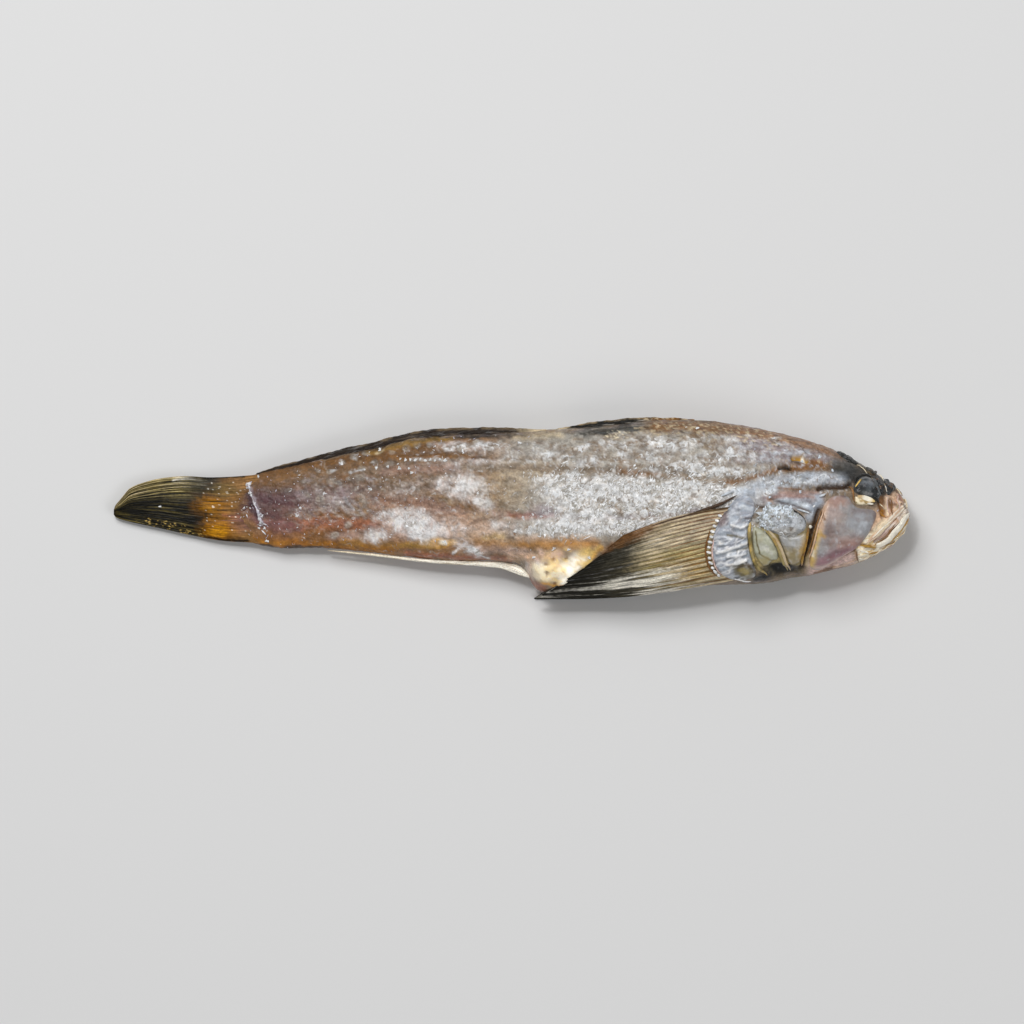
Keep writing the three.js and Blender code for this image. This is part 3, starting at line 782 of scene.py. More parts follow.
def fin_material(name):
    """Dried fin: fine lines along the rays, from the flow attribute, over the painted colour."""
    g = Graph(name)
    paint, frost, wet = g.attribute("paint", "Color"), g.attribute("frost"), g.attribute("wet")
    flow = g.attribute("flow", "Vector")
    lines = g.noise(0.14 * MM, 2, 0.5, (26, 1, 1), source=flow)
    streaks = g.noise(0.4 * MM, 3, 0.6, (10, 1, 1), source=flow)
    fine = g.noise(0.4 * MM, 4, 0.65)
    shade = g.math("MULTIPLY", g.steps(lines, 0.3, 0.7, 0.62, 1.45), g.steps(streaks, 0.3, 0.7, 0.78, 1.25))
    colour = g.scaled(paint, g.math("MULTIPLY", shade, g.steps(fine, 0.28, 0.72, 0.8, 1.2)))
    salt = g.math("MULTIPLY", g.steps(g.noise(0.5 * MM, 3, 0.6, (5, 1, 1), source=flow), 0.55, 0.72), frost)
    colour = g.mix(salt, colour, linear(FIN_DUST))
    normal = g.bump(lines, 0.08 * MM, 0.8)
    normal = g.bump(g.noise(0.5 * MM, 4, 0.6), 0.10 * MM, 0.6, normal)
    coat = g.math("MULTIPLY", wet, 0.12)
    return g.set(Base_Color=colour, Roughness=0.5, Normal=normal, Specular_IOR_Level=0.06,
                 Coat_Weight=coat, Coat_Roughness=0.2, Coat_Normal=normal)


def salt_material(name):
    """Salt crystals in their own tones."""
    g = Graph(name)
    return g.set(Base_Color=g.attribute("paint", "Color"), Roughness=0.38, Specular_IOR_Level=0.5)


FLESH = flesh_material("dried_skin")
FIN = fin_material("dried_fin")
EYE = flesh_material("dried_eye")
LIP = flesh_material("dried_lip")
SALT = salt_material("salt")

# ---- Skin -----------------------------------------------------------------------------------------

STATION_STEPS = [
    (14.61, 0.1), (16.5, 0.19), (46, 0.2), (50, 0.21), (76, 0.21), (79, 0.13), (97, 0.12), (99.9, 0.05),
]
SKIN_ROUND = 184
UNDER_SHARE = 0.5  # how dense the points are on the under side, against the upper


def stations():
    """Places along the body, closer where there is more to show."""
    dense = np.linspace(STATION_STEPS[0][0], 99.97, 4000)
    density = 1 / np.interp(dense, *zip(*STATION_STEPS))
    run = np.concatenate([[0], np.cumsum((density[1:] + density[:-1]) / 2 * np.diff(dense))])
    return np.interp(np.linspace(0, run[-1], int(run[-1])), run, dense)


def body_turns(along, count):
    """For each station, turns round the section at even steps of surface."""
    dense = np.linspace(0, 2 * np.pi, 721)
    weight = np.where(np.sin((dense[1:] + dense[:-1]) / 2) > 0, 1.0, UNDER_SHARE)
    turns = np.empty((len(along), count))
    for k, a in enumerate(along):
        across, height = section(np.full_like(dense, a), dense)
        step = np.hypot(np.diff(across) * PERCENT, np.diff(height)) * weight
        run = np.concatenate([[0], np.cumsum(step)])
        turns[k] = np.interp(np.linspace(0, run[-1], count, endpoint=False), run, dense)
    return turns


REAR_WASHES = [
    ("bronze", 0.9, 2.6, [(16, 2.6), (22, 3.6), (28, 4.4), (34, 6.2), (42, 7.4)]),
    ("brown", 0.8, 1.0, [(17, 3.2), (22, 4.4), (28, 5.4), (34, 6.8), (42, 8.3)]),
    ("taupe", 0.7, 1.8, [(24, 3.0), (30, 3.2), (36, 4.6), (44, 5.4)]),
    ("violet", 0.9, 2.6, [(22.5, 0.8), (28, 1.0), (32, 1.6)]),
    ("mauve", 0.45, 1.6, [(23.5, 0.8), (27, 0.6), (30, 0.4)]),
    ("taupe", 0.7, 2.4, [(33, 1.4), (38, 2.0), (44, 3.4)]), ("sand", 0.4, 1.8, [(43, -3.4), (49, -3.6)]),
    ("tan", 0.6, 2.2, [(30.5, -0.4), (34, 0.2), (42, 0.0)]), ("rust", 0.5, 1.0, [(27.5, 3.2), (29, 3.2)]),
    ("rust", 0.5, 0.7, [(17.6, 1.6), (19.4, 1.6)]),
    ("brown", 0.9, 1.4, [(20, -3.6), (26, -3.4), (31, -3.2)]),
    ("red", 0.75, 1.3, [(23, -2.4), (27, -2.4), (33, -2.6)]),
    ("pink", 0.6, 1.1, [(27.6, -4.2), (30.4, -4.0)]), ("violet", 0.5, 0.7, [(32.6, -1.0), (34.6, -1.2)]),
    ("pink", 0.6, 2.2, [(35, -3.0), (42, -3.0), (50, -2.8)]),
    ("taupe", 0.6, 1.0, [(39, 0.2), (44, -1.4), (50, -1.6)]),
    ("amber", 0.9, 1.1, [(14.5, -4.3), (20, -4.9), (28, -5.2), (35, -5.9)]),
    ("ochre", 0.35, 0.8, [(29, -4.9), (36, -5.2), (43, -4.8)]),
    ("gold", 0.9, 0.7, [(40.6, -4.7), (42.8, -4.8)]),
    ("red", 0.85, 0.7, [(37, -6.5), (42, -6.7), (50, -6.9)]), ("bronze", 0.7, 0.7, [(37, 6.9), (44, 7.6)]),
    ("umber", 0.5, 0.6, GROOVE_TOP[:3]), ("amber", 0.5, 0.4, [(34, 7.3), (42, 8.5)]),
]
PLUM_WASHES = [
    ("plum", 1.0, 2.5, [(18.6, 0.6), (22.0, 0.2)]), ("plum", 0.9, 1.6, [(18.4, -1.2), (21.0, -1.6)]),
    ("plum", 1.0, 1.0, [(17.2, 1.2), (17.8, -0.8), (18.4, -1.6)]),
    ("berry", 0.8, 1.0, [(18.8, -2.6), (22.4, -2.6)]), ("berry", 0.6, 0.8, [(20.4, -3.3), (23.4, -3.2)]),
    ("berry", 0.5, 0.7, [(17.2, -1.8), (18.2, -2.2)]),
    ("rose", 0.5, 1.6, [(33, 0.4), (38, 0.2), (44, -1.6)]),
    ("rose", 0.5, 1.0, [(34, 4.0), (40, 4.4), (48, 5.0)]),
    ("brown", 0.5, 0.8, [(34, 5.8), (40, 6.0), (45, 6.0)]), ("red", 0.6, 0.8, [(48, -1.2), (52, -1.6)]),
]
REAR_STROKES = [
    ("stone", 0.5, 0.45, [(26.0, 0.6), (26.5, 0.2)]), ("stone", 0.5, 0.3, [(26.5, 0.0), (26.8, -0.5)]),
    ("silver", 0.45, 0.4, [(29.1, 0.7), (29.5, 0.1), (30.2, -0.7)]),
    ("lilac", 0.6, 0.25, [(28.0, 0.9), (27.7, 0.3)]), ("silver", 0.8, 0.4, [(27.6, 4.0)]),
    ("silver", 0.8, 0.38, [(29.9, 3.85)]), ("silver", 0.7, 0.2, [(30.4, 4.0), (31.7, 4.3)]),
    ("stone", 0.7, 0.4, [(28.7, 5.06)]), ("silver", 0.7, 0.3, [(30.35, 5.6)]),
    ("stone", 0.6, 0.4, [(31.7, 6.2), (32.2, 6.1)]), ("cream", 0.9, 0.35, [(33.1, 6.3), (34.0, 6.7)]),
    ("tan", 0.6, 0.25, [(31.1, 5.4), (31.4, 4.7)]), ("mauve", 0.6, 0.35, [(24.2, 2.7), (24.7, 2.7)]),
    ("mauve", 0.5, 0.4, [(23.2, 1.6), (24.0, 0.9)]), ("violet", 0.6, 0.7, [(24.4, -0.3), (25.6, -0.6)]),
    ("rust", 0.7, 0.5, [(28.4, 3.5), (29.3, 3.3)]), ("umber", 0.6, 0.3, [(27.3, 4.6), (28.1, 4.3)]),
    ("umber", 0.5, 0.35, [(27.3, 1.0), (27.4, 0.2)]), ("umber", 0.5, 0.3, [(31.4, 3.2), (32.3, 2.4)]),
    ("white", 0.8, 0.22, [(44.9, 4.9), (45.0, 4.2)]), ("white", 0.8, 0.22, [(45.6, 5.0), (45.8, 4.3)]),
    ("white", 0.8, 0.22, [(46.4, 4.8), (46.4, 4.2)]), ("white", 0.9, 0.25, [(42.7, -6.2), (44.6, -4.9)]),
    ("white", 0.9, 0.25, [(44.6, -5.9), (47.2, -6.9)]), ("white", 0.8, 0.25, [(43.4, -5.0), (46.2, -6.2)]),
    # The ivory dot in the gold spot is a painted highlight.
    ("gold", 0.9, 0.9, [(39.6, -4.9), (41.0, -4.5)]), ("ivory", 1.0, 0.5, [(41.8, -4.85)]),
    ("ochre", 0.6, 0.5, [(36.0, -5.4), (38.6, -5.2), (41.6, -5.3)]),
    ("honey", 0.35, 0.5, [(15.5, -4.5), (19, -4.9), (22, -5.0)]),
]
BLISTERS = [
    (27.3, 4.0), (29.9, 3.9), (28.8, 5.1), (30.3, 5.7), (27.5, 2.8), (28.4, 2.7), (29.7, 3.0), (24.1, 2.7),
    (24.4, 1.1), (26.2, 0.7), (31.9, 6.2), (33.6, 6.6), (35.2, 6.4), (36.9, 7.0), (38.3, 7.4), (39.8, 7.3),
    (41.2, 7.8), (42.6, 7.4), (43.8, 6.8), (45.6, 7.6), (47.2, 7.0), (48.6, 7.8), (33.0, 5.2), (34.8, 5.0),
    (31.4, 4.4), (25.7, 4.2), (45.0, 6.2), (49.8, 6.8), (46.2, 5.4), (51.6, 7.4), (22.0, 1.6), (30.6, 2.0),
    (31.2, 3.3), (28.0, -4.0), (29.6, -2.6),
]


def paint_rear(p):
    """Bronze above, violet grey along the middle, red below, amber at the belly's edge."""
    rear = rise(p.along, 54, 44)
    p.lay(rear, "bronze", 0.8)
    p.washes(REAR_WASHES)
    p.mottle("brown", (2.2, 1.4, 2), 39, 0.1, 0.6, 0.5, rear * rise(p.depth, 0.4, 0.7))
    inner = rear * rise(p.depth, 0.05, 0.3) * rise(p.depth, 1.0, 0.8)
    p.mottle("mauve", (1.6, 1.3, 1.6), 61, 0.15, 0.6, 0.3, inner)
    p.mottle("umber", (1.8, 1.2, 1.6), 63, 0.2, 0.7, 0.35, rear * rise(p.depth, 0.04, 0.2))
    for k, centre in enumerate(BLISTERS):
        size = 0.42 + 0.12 * math.sin(5 * k)
        p.lay(p.in_spot(centre, (1.5 * size, 1.4 * size), 0.4), "umber", 0.35, 0.4)
        p.lay(p.in_spot(centre, (size, 0.8 * size), 0.3), "stone", 0.7, 0.4)
        p.lay(p.in_spot(centre, (0.5 * size, 0.4 * size), 0.5), "taupe", 0.5, 0.4)
    p.shade(-0.26 * rise(p.along, 52, 36) * rise(p.across, -2.4, 0.2) + 0.12 * rear * rise(p.across, -1, -3))
    dark, cool = ("mauve", "umber", "stone", "umber", "brown"), ("mauve", "grey", "stone", "violet")
    p.scratch(71, 300, 22, 52, dark, (0.4, 1.3), (0.05, 0.13), -50, 0.4)
    p.washes(PLUM_WASHES)
    p.scratch(75, 90, 23, 33, cool, (0.5, 1.2), (0.12, 0.26), -55, 0.5, (0.35, 0.72))
    p.washes(REAR_STROKES, 0.5)
    p.lay(p.between(18, 40, 4) * rise(p.across, 1.5, 3.0), "bronze", 0.16)
    p.lay(p.between(20, 42, 4) * rise(p.across, 3.0, 1.0), "red", 0.12)
    p.lay(p.between(16, 24, 2) * rise(p.across, 2.4, 0.6), "berry", 0.16)
    p.spot((45.2, -3.4), (4.6, 2.2), "peach", 0.35)
    pale = bloom(p)
    p.lay(rise(pale, 0.0, 0.4), "pink", 0.4, 0.4)
    p.lay(pale, "white", 0.8, 0.4, grit=0.6)
    fringe, whole = rise(pale, 0.02, 0.3), (0.02, 0.98)
    salty, ruddy = ("white", "pink", "white", "white"), ("rose", "taupe", "pink")
    p.scratch(73, 900, 30, 56, salty, (0.3, 1.1), (0.05, 0.12), 70, 0.8, whole, fringe)
    p.scratch(76, 300, 30, 56, ruddy, (0.3, 0.9), (0.04, 0.09), 60, 0.5, whole, fringe)
    p.lay(rise(p.along, 16.6, 15.6) * rise(p.across, -4.4, -3.6), "bronze", 0.9, 0.6, grit=0.6)
    p.lay(p.between(17.5, 27, 1) * rise(p.depth, 0.035, 0.015), "black", 0.8)


RIM_WASHES = [
    ("sand", 0.8, 0.9, [(50.6, 8.5), (53, 8.7), (56.2, 8.6)]),
    ("ochre", 0.7, 0.35, [(53, 9.25), (55.8, 9.2)]),
]


def paint_flank(p):
    """Grey white salted flank over brown flesh, the tan window behind it and the furrows."""
    p.lay(p.between(50, 82, 4) * rise(p.across, -5.5, -3.5), "stone", 0.85)
    p.spot((49.6, 2.2), (3.4, 2.6), "tan", 0.55, 0, 0.95)
    p.spot((53, 4.2), (4.0, 1.4), "buff", 0.7)
    flank = p.between(52, 80, 3) * rise(p.across, -4.5, -3.5)
    p.mottle("taupe", (4, 1.8, 3), 43, -0.1, 0.4, 0.85, flank * rise(p.across, 2.5, 4.5))
    p.mottle("taupe", (3, 1.8, 3), 46, 0.2, 0.6, 0.7, flank)
    p.mottle("brown", (2, 1.2, 2), 44, 0.3, 0.7, 0.6, flank)
    p.line(GROOVE_UPPER, 0.9, "taupe", 0.95)
    p.line([(63.5, 4.2), (66, 3.7), (68.4, 3.6)], 0.7, "brown", 0.8)
    p.line([(76.8, 2.6), (79.5, 3.1), (83.2, 4.2), (90, 4.4)], 0.6, "brown", 0.8)
    p.line(GROOVE_MIDDLE[3:], 0.7, "mauve", 0.8)
    p.line([(50.0, -1.4), (52.5, -1.6), (55.5, -1.5)], 0.7, "red", 0.7)
    p.spot((54.5, -0.8), (1.8, 0.8), "mauve", 0.8)
    p.line([(54.5, -2.9), (59, -3.1), (63, -2.9)], 1.3, "white", 0.7)
    p.line([(70, 0.7), (74, 0.9)], 0.6, "taupe", 0.6)


def paint_back(p):
    """The dark fin folded on the nape, and the back's brown rim."""
    p.washes(RIM_WASHES)
    folded = p.on_line([(58, 9.2), (60, 9.1), (64, 9.6), (69, 10.1)], 0.95, 0.5)
    fold = folded * rise(p.along + p.grain, 56.6, 60.5)
    p.lay(fold, "charcoal", 0.9, frost=0.1)
    p.mottle("slate", (7, 0.5, 1), 47, -0.1, 0.4, 0.7, fold)
    p.mottle("black", (6, 0.5, 1), 48, 0.1, 0.5, 0.7, fold)
    p.mottle("stone", (8, 0.35, 1), 38, 0.2, 0.5, 0.6, fold * rise(p.along, 57, 61))
    p.mottle("cream", (0.9, 0.6, 0.8), 49, 0.1, 0.4, 0.9, p.in_spot((63.4, 8.5), (1.7, 0.5)))
    p.mottle("sand", (0.9, 0.6, 0.8), 42, 0.0, 0.4, 0.7, p.in_spot((67, 9.2), (2.6, 0.5)))
    p.lay(p.between(33, 51, 3) * rise(p.depth, 0.95, 0.975), "umber", 0.9, frost=0.1)
    p.lay(p.between(33, 51, 3) * rise(p.depth, 0.96, 0.98), "black", 0.7)


BREAST_WASHES = [
    ("orange", 0.35, 1.0, [(46, -5.0), (51, -5.0)]),
    ("orange", 0.7, 1.1, [(51.6, -5.1), (57, -5.0), (60.6, -5.0)]),
    ("peach", 0.5, 0.8, [(51, -4.4), (57, -4.2), (60, -4.4)]),
    ("peach", 0.9, 0.9, [(50, -6.4), (53, -6.6), (56, -6.3)]),
    ("gold", 0.35, 0.6, [(46.8, -4.3), (49.0, -4.1)]), ("cream", 1.0, 1.7, [(54.2, -8.2), (57.4, -7.9)]),
    ("ivory", 1.0, 1.5, [(57.4, -8.2), (58.6, -7.0)]), ("ivory", 1.0, 0.9, [(56.6, -9.2), (58.2, -8.6)]),
    ("cream", 0.9, 0.8, [(53.0, -7.8), (54.6, -8.8)]),
    ("gold", 0.8, 0.5, [(59.2, -7.4), (60.4, -6.4), (61.2, -5.4)]),
    ("orange", 0.6, 0.4, [(60.2, -6.8), (61.4, -5.4)]), ("gold", 0.7, 0.9, [(59.0, -6.2), (59.8, -6.0)]),
    ("honey", 0.8, 0.4, [(54.2, -9.7), (56.4, -9.8)]), ("rust", 0.8, 0.6, [(62.6, -5.0), (61.6, -6.2)]),
    ("peach", 0.6, 0.7, [(52.4, -7.2), (52.6, -8.8)]), ("red", 1.0, 1.0, [(52.6, -9.7), (53.9, -10.5)]),
    ("pink", 0.5, 0.8, [(46, -5.6), (49, -5.8), (52, -6.0)]),
]


def paint_breast(p):
    """Amber and cream breast in front of the anal fin, with a red tip and brown pits, lightened as painted
    light on its down-turned slope.
    """
    p.washes(BREAST_WASHES, 0.6)
    whole = p.in_spot((56.6, -8.0), (3.8, 2.4), 0.3, 20)
    p.lay(whole, None, 1.0, grit=0.25, wet=0.7, frost=0.0)
    p.mottle("gold", (2, 1.6, 2), 58, -0.1, 0.3, 0.6, p.in_spot((57.4, -7.8), (3.4, 2.0)))
    # Painted light: the breast is lightened where its slope turns away from the lamps.
    p.shade(0.42 * p.in_spot((56.8, -8.0), (3.8, 2.2), 0.5, 20))
    p.mottle("blush", (2, 1.6, 2), 59, 0.0, 0.4, 0.5, p.in_spot((55.4, -6.6), (3.0, 1.0)))
    p.mottle("tan", (1.2, 1.0, 1.2), 62, 0.2, 0.5, 0.35, whole)
    for pit in BREAST_PITS:
        p.spot(pit, (0.26, 0.2), "brown", 0.8)


SNOUT_WASHES = [
    ("rust", 1.0, 0.6, [(96.2, 0.6), (96.1, -0.4), (96.4, -1.2)]),
    ("amber", 0.8, 0.35, [(96.4, -0.9), (96.3, -1.6)]),
    # The cream streak at 97 along is a painted highlight.
    ("cream", 0.8, 0.25, [(97.0, 0.7), (96.8, -0.4), (97.0, -1.4)]),
    ("cream", 0.8, 0.3, [(98.6, 0.3), (98.0, -0.8)]), ("rust", 0.8, 0.45, [(97.6, -0.1), (98.0, -0.2)]),
    ("red", 0.9, 0.4, [(98.7, 1.0), (98.9, 0.5)]), ("rust", 0.7, 0.3, [(97.2, 0.4), (97.4, -0.8)]),
    ("brown", 0.7, 0.25, [(98.1, 1.9), (98.6, 1.3)]), ("ivory", 0.8, 0.22, [(98.3, 2.0), (98.8, 1.3)]),
    ("ochre", 0.8, 0.4, [(99.3, 0.6), (99.6, 0.0)]), ("umber", 0.7, 0.2, [(98.8, 0.0), (99.2, -0.8)]),
    ("cream", 0.9, 0.8, [(95.4, -3.4), (96.6, -2.4)]), ("mauve", 0.5, 0.3, [(97.6, -2.4), (96.6, -3.6)]),
    ("orange", 0.7, 0.2, [(98.2, -2.2), (97.6, -3.1), (96.6, -4.5)]),
    ("ivory", 1.0, 0.7, [(99.4, -1.4), (98.6, -3.2), (97.0, -4.6), (95.6, -5.8)]),
    ("orange", 0.9, 0.3, [(99.5, -2.0), (99.45, -2.4)]), ("ochre", 0.8, 0.3, [(99.4, -3.2), (98.6, -3.9)]),
    ("rust", 0.9, 0.35, [(92.9, -5.0), (94.0, -5.1)]), ("ochre", 0.9, 0.45, [(94.2, -5.3), (95.4, -5.4)]),
    ("ivory", 0.8, 0.3, [(93.4, -5.8), (94.0, -5.6)]), ("ivory", 0.8, 0.3, [(93.2, -6.7), (93.8, -6.7)]),
    ("orange", 0.8, 0.25, [(93.0, -6.0), (93.1, -7.0)]),
    ("brown", 0.8, 0.2, [(97.8, -4.6), (97.0, -5.2), (96.2, -5.8)]),
    ("ivory", 0.8, 0.25, [(95.4, -5.7), (96.4, -5.3)]),
]
GILL_TOP = [
    ("mauve", 0.9, 1.6, [(81.6, 0.6), (88.0, 0.4)]),
    ("rose", 0.6, 0.5, [(82, 1.1), (84, 1.3), (88.0, 1.3)]),
    ("blue", 1.0, 1.0, [(83.6, 0.3), (85.6, -0.1), (87.6, -0.6)]),
    ("silver", 0.9, 0.45, [(84.2, 0.2), (86.8, -0.3)]),
    ("silver", 0.9, 0.4, [(81.8, -0.2), (83.0, 0.4), (84.2, 0.6)]),
    ("blue", 0.9, 0.6, [(86.6, 0.7), (88.4, 0.9)]),
    ("violet", 0.8, 0.4, [(81.2, 0.6), (82.4, 1.0), (83.4, 1.0)]),
    ("plum", 0.5, 0.35, [(84.6, 0.9), (86.8, 0.8)]), ("silver", 0.9, 0.3, [(87.2, -1.1), (88.2, -0.2)]),
    ("peach", 0.95, 2.0, [(93.4, -4.0), (95.2, -2.6), (96.4, -1.4)]),
    ("blue", 1.0, 0.9, [(87.0, -1.8), (87.7, -0.8), (88.3, 0.2)]),
    ("silver", 0.9, 1.0, [(77.6, 1.4), (80, 1.7), (82.6, 1.7)]),
    ("white", 0.7, 0.35, [(80.4, 1.3), (81.6, 1.2), (82.8, 1.5)]),
    ("white", 0.7, 0.3, [(78.4, 0.9), (79.4, 0.2)]),
    # Umber along the gill fold: painted shade in its crease.
    ("umber", 0.8, 0.4, [(79.3, 0.1), (80.1, -0.1), (80.8, -0.5), (81.6, -0.6)]),
    ("umber", 0.6, 0.5, [(80.0, 0.2), (80.2, -0.9)]), ("brown", 0.8, 0.5, [(82.1, 0.6), (82.5, 0.2)]),
    ("rose", 0.7, 0.4, [(82.8, 0.7), (84.6, 0.9), (87.6, 0.8)]),
]


def paint_nape(p):
    """Violet nape over a blue silver band."""
    p.lay(p.between(77, 91, 2) * rise(p.across, 4.5, 5.5), "mauve", 0.8)
    nape = p.between(78, 89, 2) * rise(p.across, 4.8, 5.6) * rise(p.across, 8.6, 7.2)
    p.mottle("silver", (2.4, 1.0, 1.0), 50, 0.0, 0.4, 0.6, nape)
    crest = p.between(76, 92, 2) * rise(p.across, 5.5, 7.0)
    p.mottle("violet", (1.6, 1.2, 1.2), 51, 0.1, 0.6, 0.7, crest)
    p.line([(80, 2.0), (86, 3.0), (91.5, 3.2)], 1.1, "blue", 0.95)
    p.mottle("silver", (2.2, 0.8, 0.8), 52, -0.1, 0.3, 0.8, p.on_line([(80, 2.0), (86, 3.0), (91, 3.2)], 1.1))
    p.mottle("violet", (1.6, 0.7, 0.7), 54, 0.25, 0.5, 0.6, p.on_line([(80, 2.0), (86, 3.0), (92, 3.2)], 1.3))
    p.line([(84, 4.4), (88, 4.8), (91, 4.6)], 0.6, "brown", 0.9)
    p.line([(86.6, 5.3), (88.6, 5.1)], 0.5, "rust", 0.9)
    steely, scaly = ("silver", "white", "slate", "blue"), ("silver", "violet", "silver", "sand")
    p.scratch(81, 240, 80, 92, steely, (0.2, 0.7), (0.05, 0.1), 65, 0.6, (0.63, 0.76))
    p.scratch(83, 360, 74, 91, scaly, (0.15, 0.5), (0.05, 0.1), 20, 0.55, (0.78, 0.93))
    p.washes(GILL_TOP)
    p.spot((79.4, 0.6), (1.8, 1.6), "blue", 0.7)
    p.spot((77.4, 1.2), (1.2, 0.4), "silver", 0.9, 25)


def paint_snout(p):
    """The dark brow, the pink snout and the pale jaw, with a painted shadow line above the cheek and the jaw
    lightened as painted light.
    """
    # Painted shadow: umber and brown lines along the groove between brow and cheek.
    p.line(BROW_LINE, 0.36, "umber", 1.0, 0.6)
    p.line([(83.2, 1.9), (84.6, 1.85), (86, 1.7)], 0.3, "brown", 0.8)
    p.spot((91.5, 4.4), (1.8, 1.4), "slate", 0.8, -20)
    p.spot((93.6, 3.3), (2.2, 1.5), "ink", 0.85, -25)
    p.spot((90.8, 4.2), (0.8, 0.5), "charcoal", 0.8)
    p.lay(rise(p.along, 94.6, 95.6) * rise(p.across, -0.5, 0.6), "ink", 0.85)
    p.lay(rise(p.along, 96.3, 96.9) * rise(p.across - 0.5 * (p.along - 97), 1.3, 0.8), "peach", 0.95,
          wet=0.6)
    jaw = rise(p.along, 92.6, 93.6) * rise(p.across + 0.75 * (p.along - 95), -3.2, -4.4)
    p.lay(jaw, "ivory", 0.95, wet=0.8)
    nose = rise(p.along, 96.8, 97.4) * rise(p.across, -2.4, -1.2)
    p.mottle("blush", (1.6, 1.2, 1.2), 53, -0.1, 0.4, 0.6, nose)
    p.mottle("rust", (0.9, 0.7, 0.7), 56, 0.15, 0.45, 0.7, nose)
    p.mottle("gold", (2.0, 0.8, 0.8), 55, 0.05, 0.45, 0.7, jaw)
    p.mottle("ochre", (1.6, 0.5, 0.5), 66, 0.25, 0.5, 0.6, jaw)
    p.washes(SNOUT_WASHES, 0.6)
    p.lay(jaw, "gold", 0.2)
    # Painted light: the jaw is lightened where it turns down, away from the lamps.
    p.shade(0.2 * jaw)
    p.line(MOUTH_SLIT, 0.24, "rust", 0.8, 0.7)
    p.line(CHIN_SLIT, 0.18, "orange", 0.6, 0.7)


def paint_nape_rim(p):
    """The brown beaded rim of the nape."""
    rim = p.between(67, 91, 1.5)
    p.lay(rim * rise(p.depth, 0.90, 0.96), "bronze", 0.8)
    p.mottle("rust", (1.4, 0.7, 0.7), 65, -0.1, 0.3, 0.7, rim * rise(p.depth, 0.93, 0.97))
    beaded = rim * rise(p.depth, 0.84, 0.92)
    p.mottle("sand", (0.9, 0.7, 0.7), 67, 0.1, 0.4, 0.8, beaded * rise(p.along, 86, 82))
    p.mottle("umber", (0.9, 0.7, 0.7), 69, 0.25, 0.5, 0.7, beaded)


def paint_throat(p):
    """Blush and wine folds of the throat under the cheek."""
    p.lay(p.between(87, 93, 0.6) * rise(p.across, -5.6, -6.6), "blush", 1.0)
    p.mottle("wine", (1.2, 0.8, 0.8), 68, 0.0, 0.5, 0.5, p.between(87, 92, 0.6) * rise(p.across, -5.6, -6.6))
    p.line([(88.4, -7.9), (90.4, -6.9), (91.5, -6.4), (92.8, -5.7)], 0.3, "rust", 1.0, 0.7)
    p.line([(88.0, -8.8), (89.2, -8.4), (90.4, -8.0)], 0.4, "rust", 1.0, 0.7)
    p.line([(90.4, -8.0), (91.4, -7.8), (93.2, -7.0)], 0.3, "peach", 0.8)


def paint_gill(p):
    """The gill's dark gap, its seam and its folds, darkened with painted shade: black and ink in the gap,
    umber in the seam and folds.
    """
    p.lay(p.in_spot((83.6, -5.6), (4.2, 3.6), 0.3), "khaki", 0.9)
    # Painted shade: black and ink in the gill's sunken gap, umber in its seam and folds.
    p.spot((84.0, -8.6), (2.3, 0.9), "black", 1.0)
    p.spot((81.4, -9.6), (1.4, 0.7), "ink", 1.0)
    p.line(CHEEK_SEAM, 0.4, "umber", 1.0, 0.7)
    p.line(GILL_FOLD, 0.3, "umber", 0.95)
    p.line(UPPER_FOLD, 0.22, "umber", 0.85)


def paint_marks(p):
    """The slit and hole behind the head and the torn scar at the root of the tail, with painted shade in the
    slit and a painted plum shadow beside the scar.
    """
    right = p.side > 0
    # Painted shade: umber and black in the slit's hollow.
    p.lay(p.on_line(SLIT, 0.42, 1.0) * right, "umber", 0.9)
    p.lay(p.on_line(SLIT, 0.2, 0.8) * right, "black", 0.9)
    p.lay(p.on_line(EAR_HOLE, 0.42, 0.7) * right, "ochre", 1.0, grit=0.3)
    p.lay(p.on_line([(84.9, 5.15), (85.8, 5.05)], 0.3) * right, "umber", 0.9)
    p.lay(p.on_line([(86.3, 5.6), (86.6, 5.15)], 0.26, 0.7) * right, "ivory", 1.0)
    p.lay(p.on_line(SCAR, 0.3, 0.8) * right, "lilac", 0.4)
    # Painted shadow: plum along the scar's left side.
    p.lay(p.on_line([(16.95, 1.5), (17.2, 0.4), (17.75, -0.7), (18.2, -1.7)], 0.26) * right, "plum", 0.8)


def paint_rims(p):
    """The narrow back and throat, which only low views show: drawn flesh over the flank's marks."""
    rim = rise(p.form.edge, 0.36, 0.14)
    forward = p.along + 1.6 * rough(p.points, 5 * MM, 121)
    low = lerp(rim, rise(p.form.edge, 0.26, 0.1), rise(p.along, 84, 87))
    throat = low * rise(p.depth, 0.4, 0.2) * p.between(60, 99, 2)
    p.lay(throat, "taupe", 0.9, 0.4)
    p.lay(throat * rise(forward, 84, 90), "rose", 0.75, 0.4)
    p.lay(throat * rise(forward, 91, 96), "peach", 0.75, 0.4)
    p.mottle("mauve", (5, 2, 1.6), 122, -0.1, 0.5, 0.6, throat)
    p.mottle("umber", (7, 1.5, 0.8), 123, 0.1, 0.5, 0.6, throat * rise(forward, 93, 84))
    p.mottle("olive", (3, 2, 1.4), 124, 0.0, 0.5, 0.5, throat * p.between(76, 89, 3))
    p.mottle("cream", (2.6, 1.4, 1.0), 125, -0.1, 0.4, 0.65, throat * rise(forward, 88, 93))
    p.mottle("rust", (3, 1, 0.6), 126, 0.2, 0.5, 0.6, throat * rise(forward, 85, 90))
    back = rim * rise(p.depth, 0.6, 0.8) * p.between(24, 92, 3)
    p.mottle("taupe", (5, 2, 2), 127, -0.3, 0.2, 0.85, back * rise(p.along, 76, 70))
    p.mottle("mauve", (3, 2, 1.6), 129, 0.0, 0.5, 0.6, back)
    p.mottle("umber", (7, 1.5, 0.9), 128, 0.15, 0.6, 0.6, back)


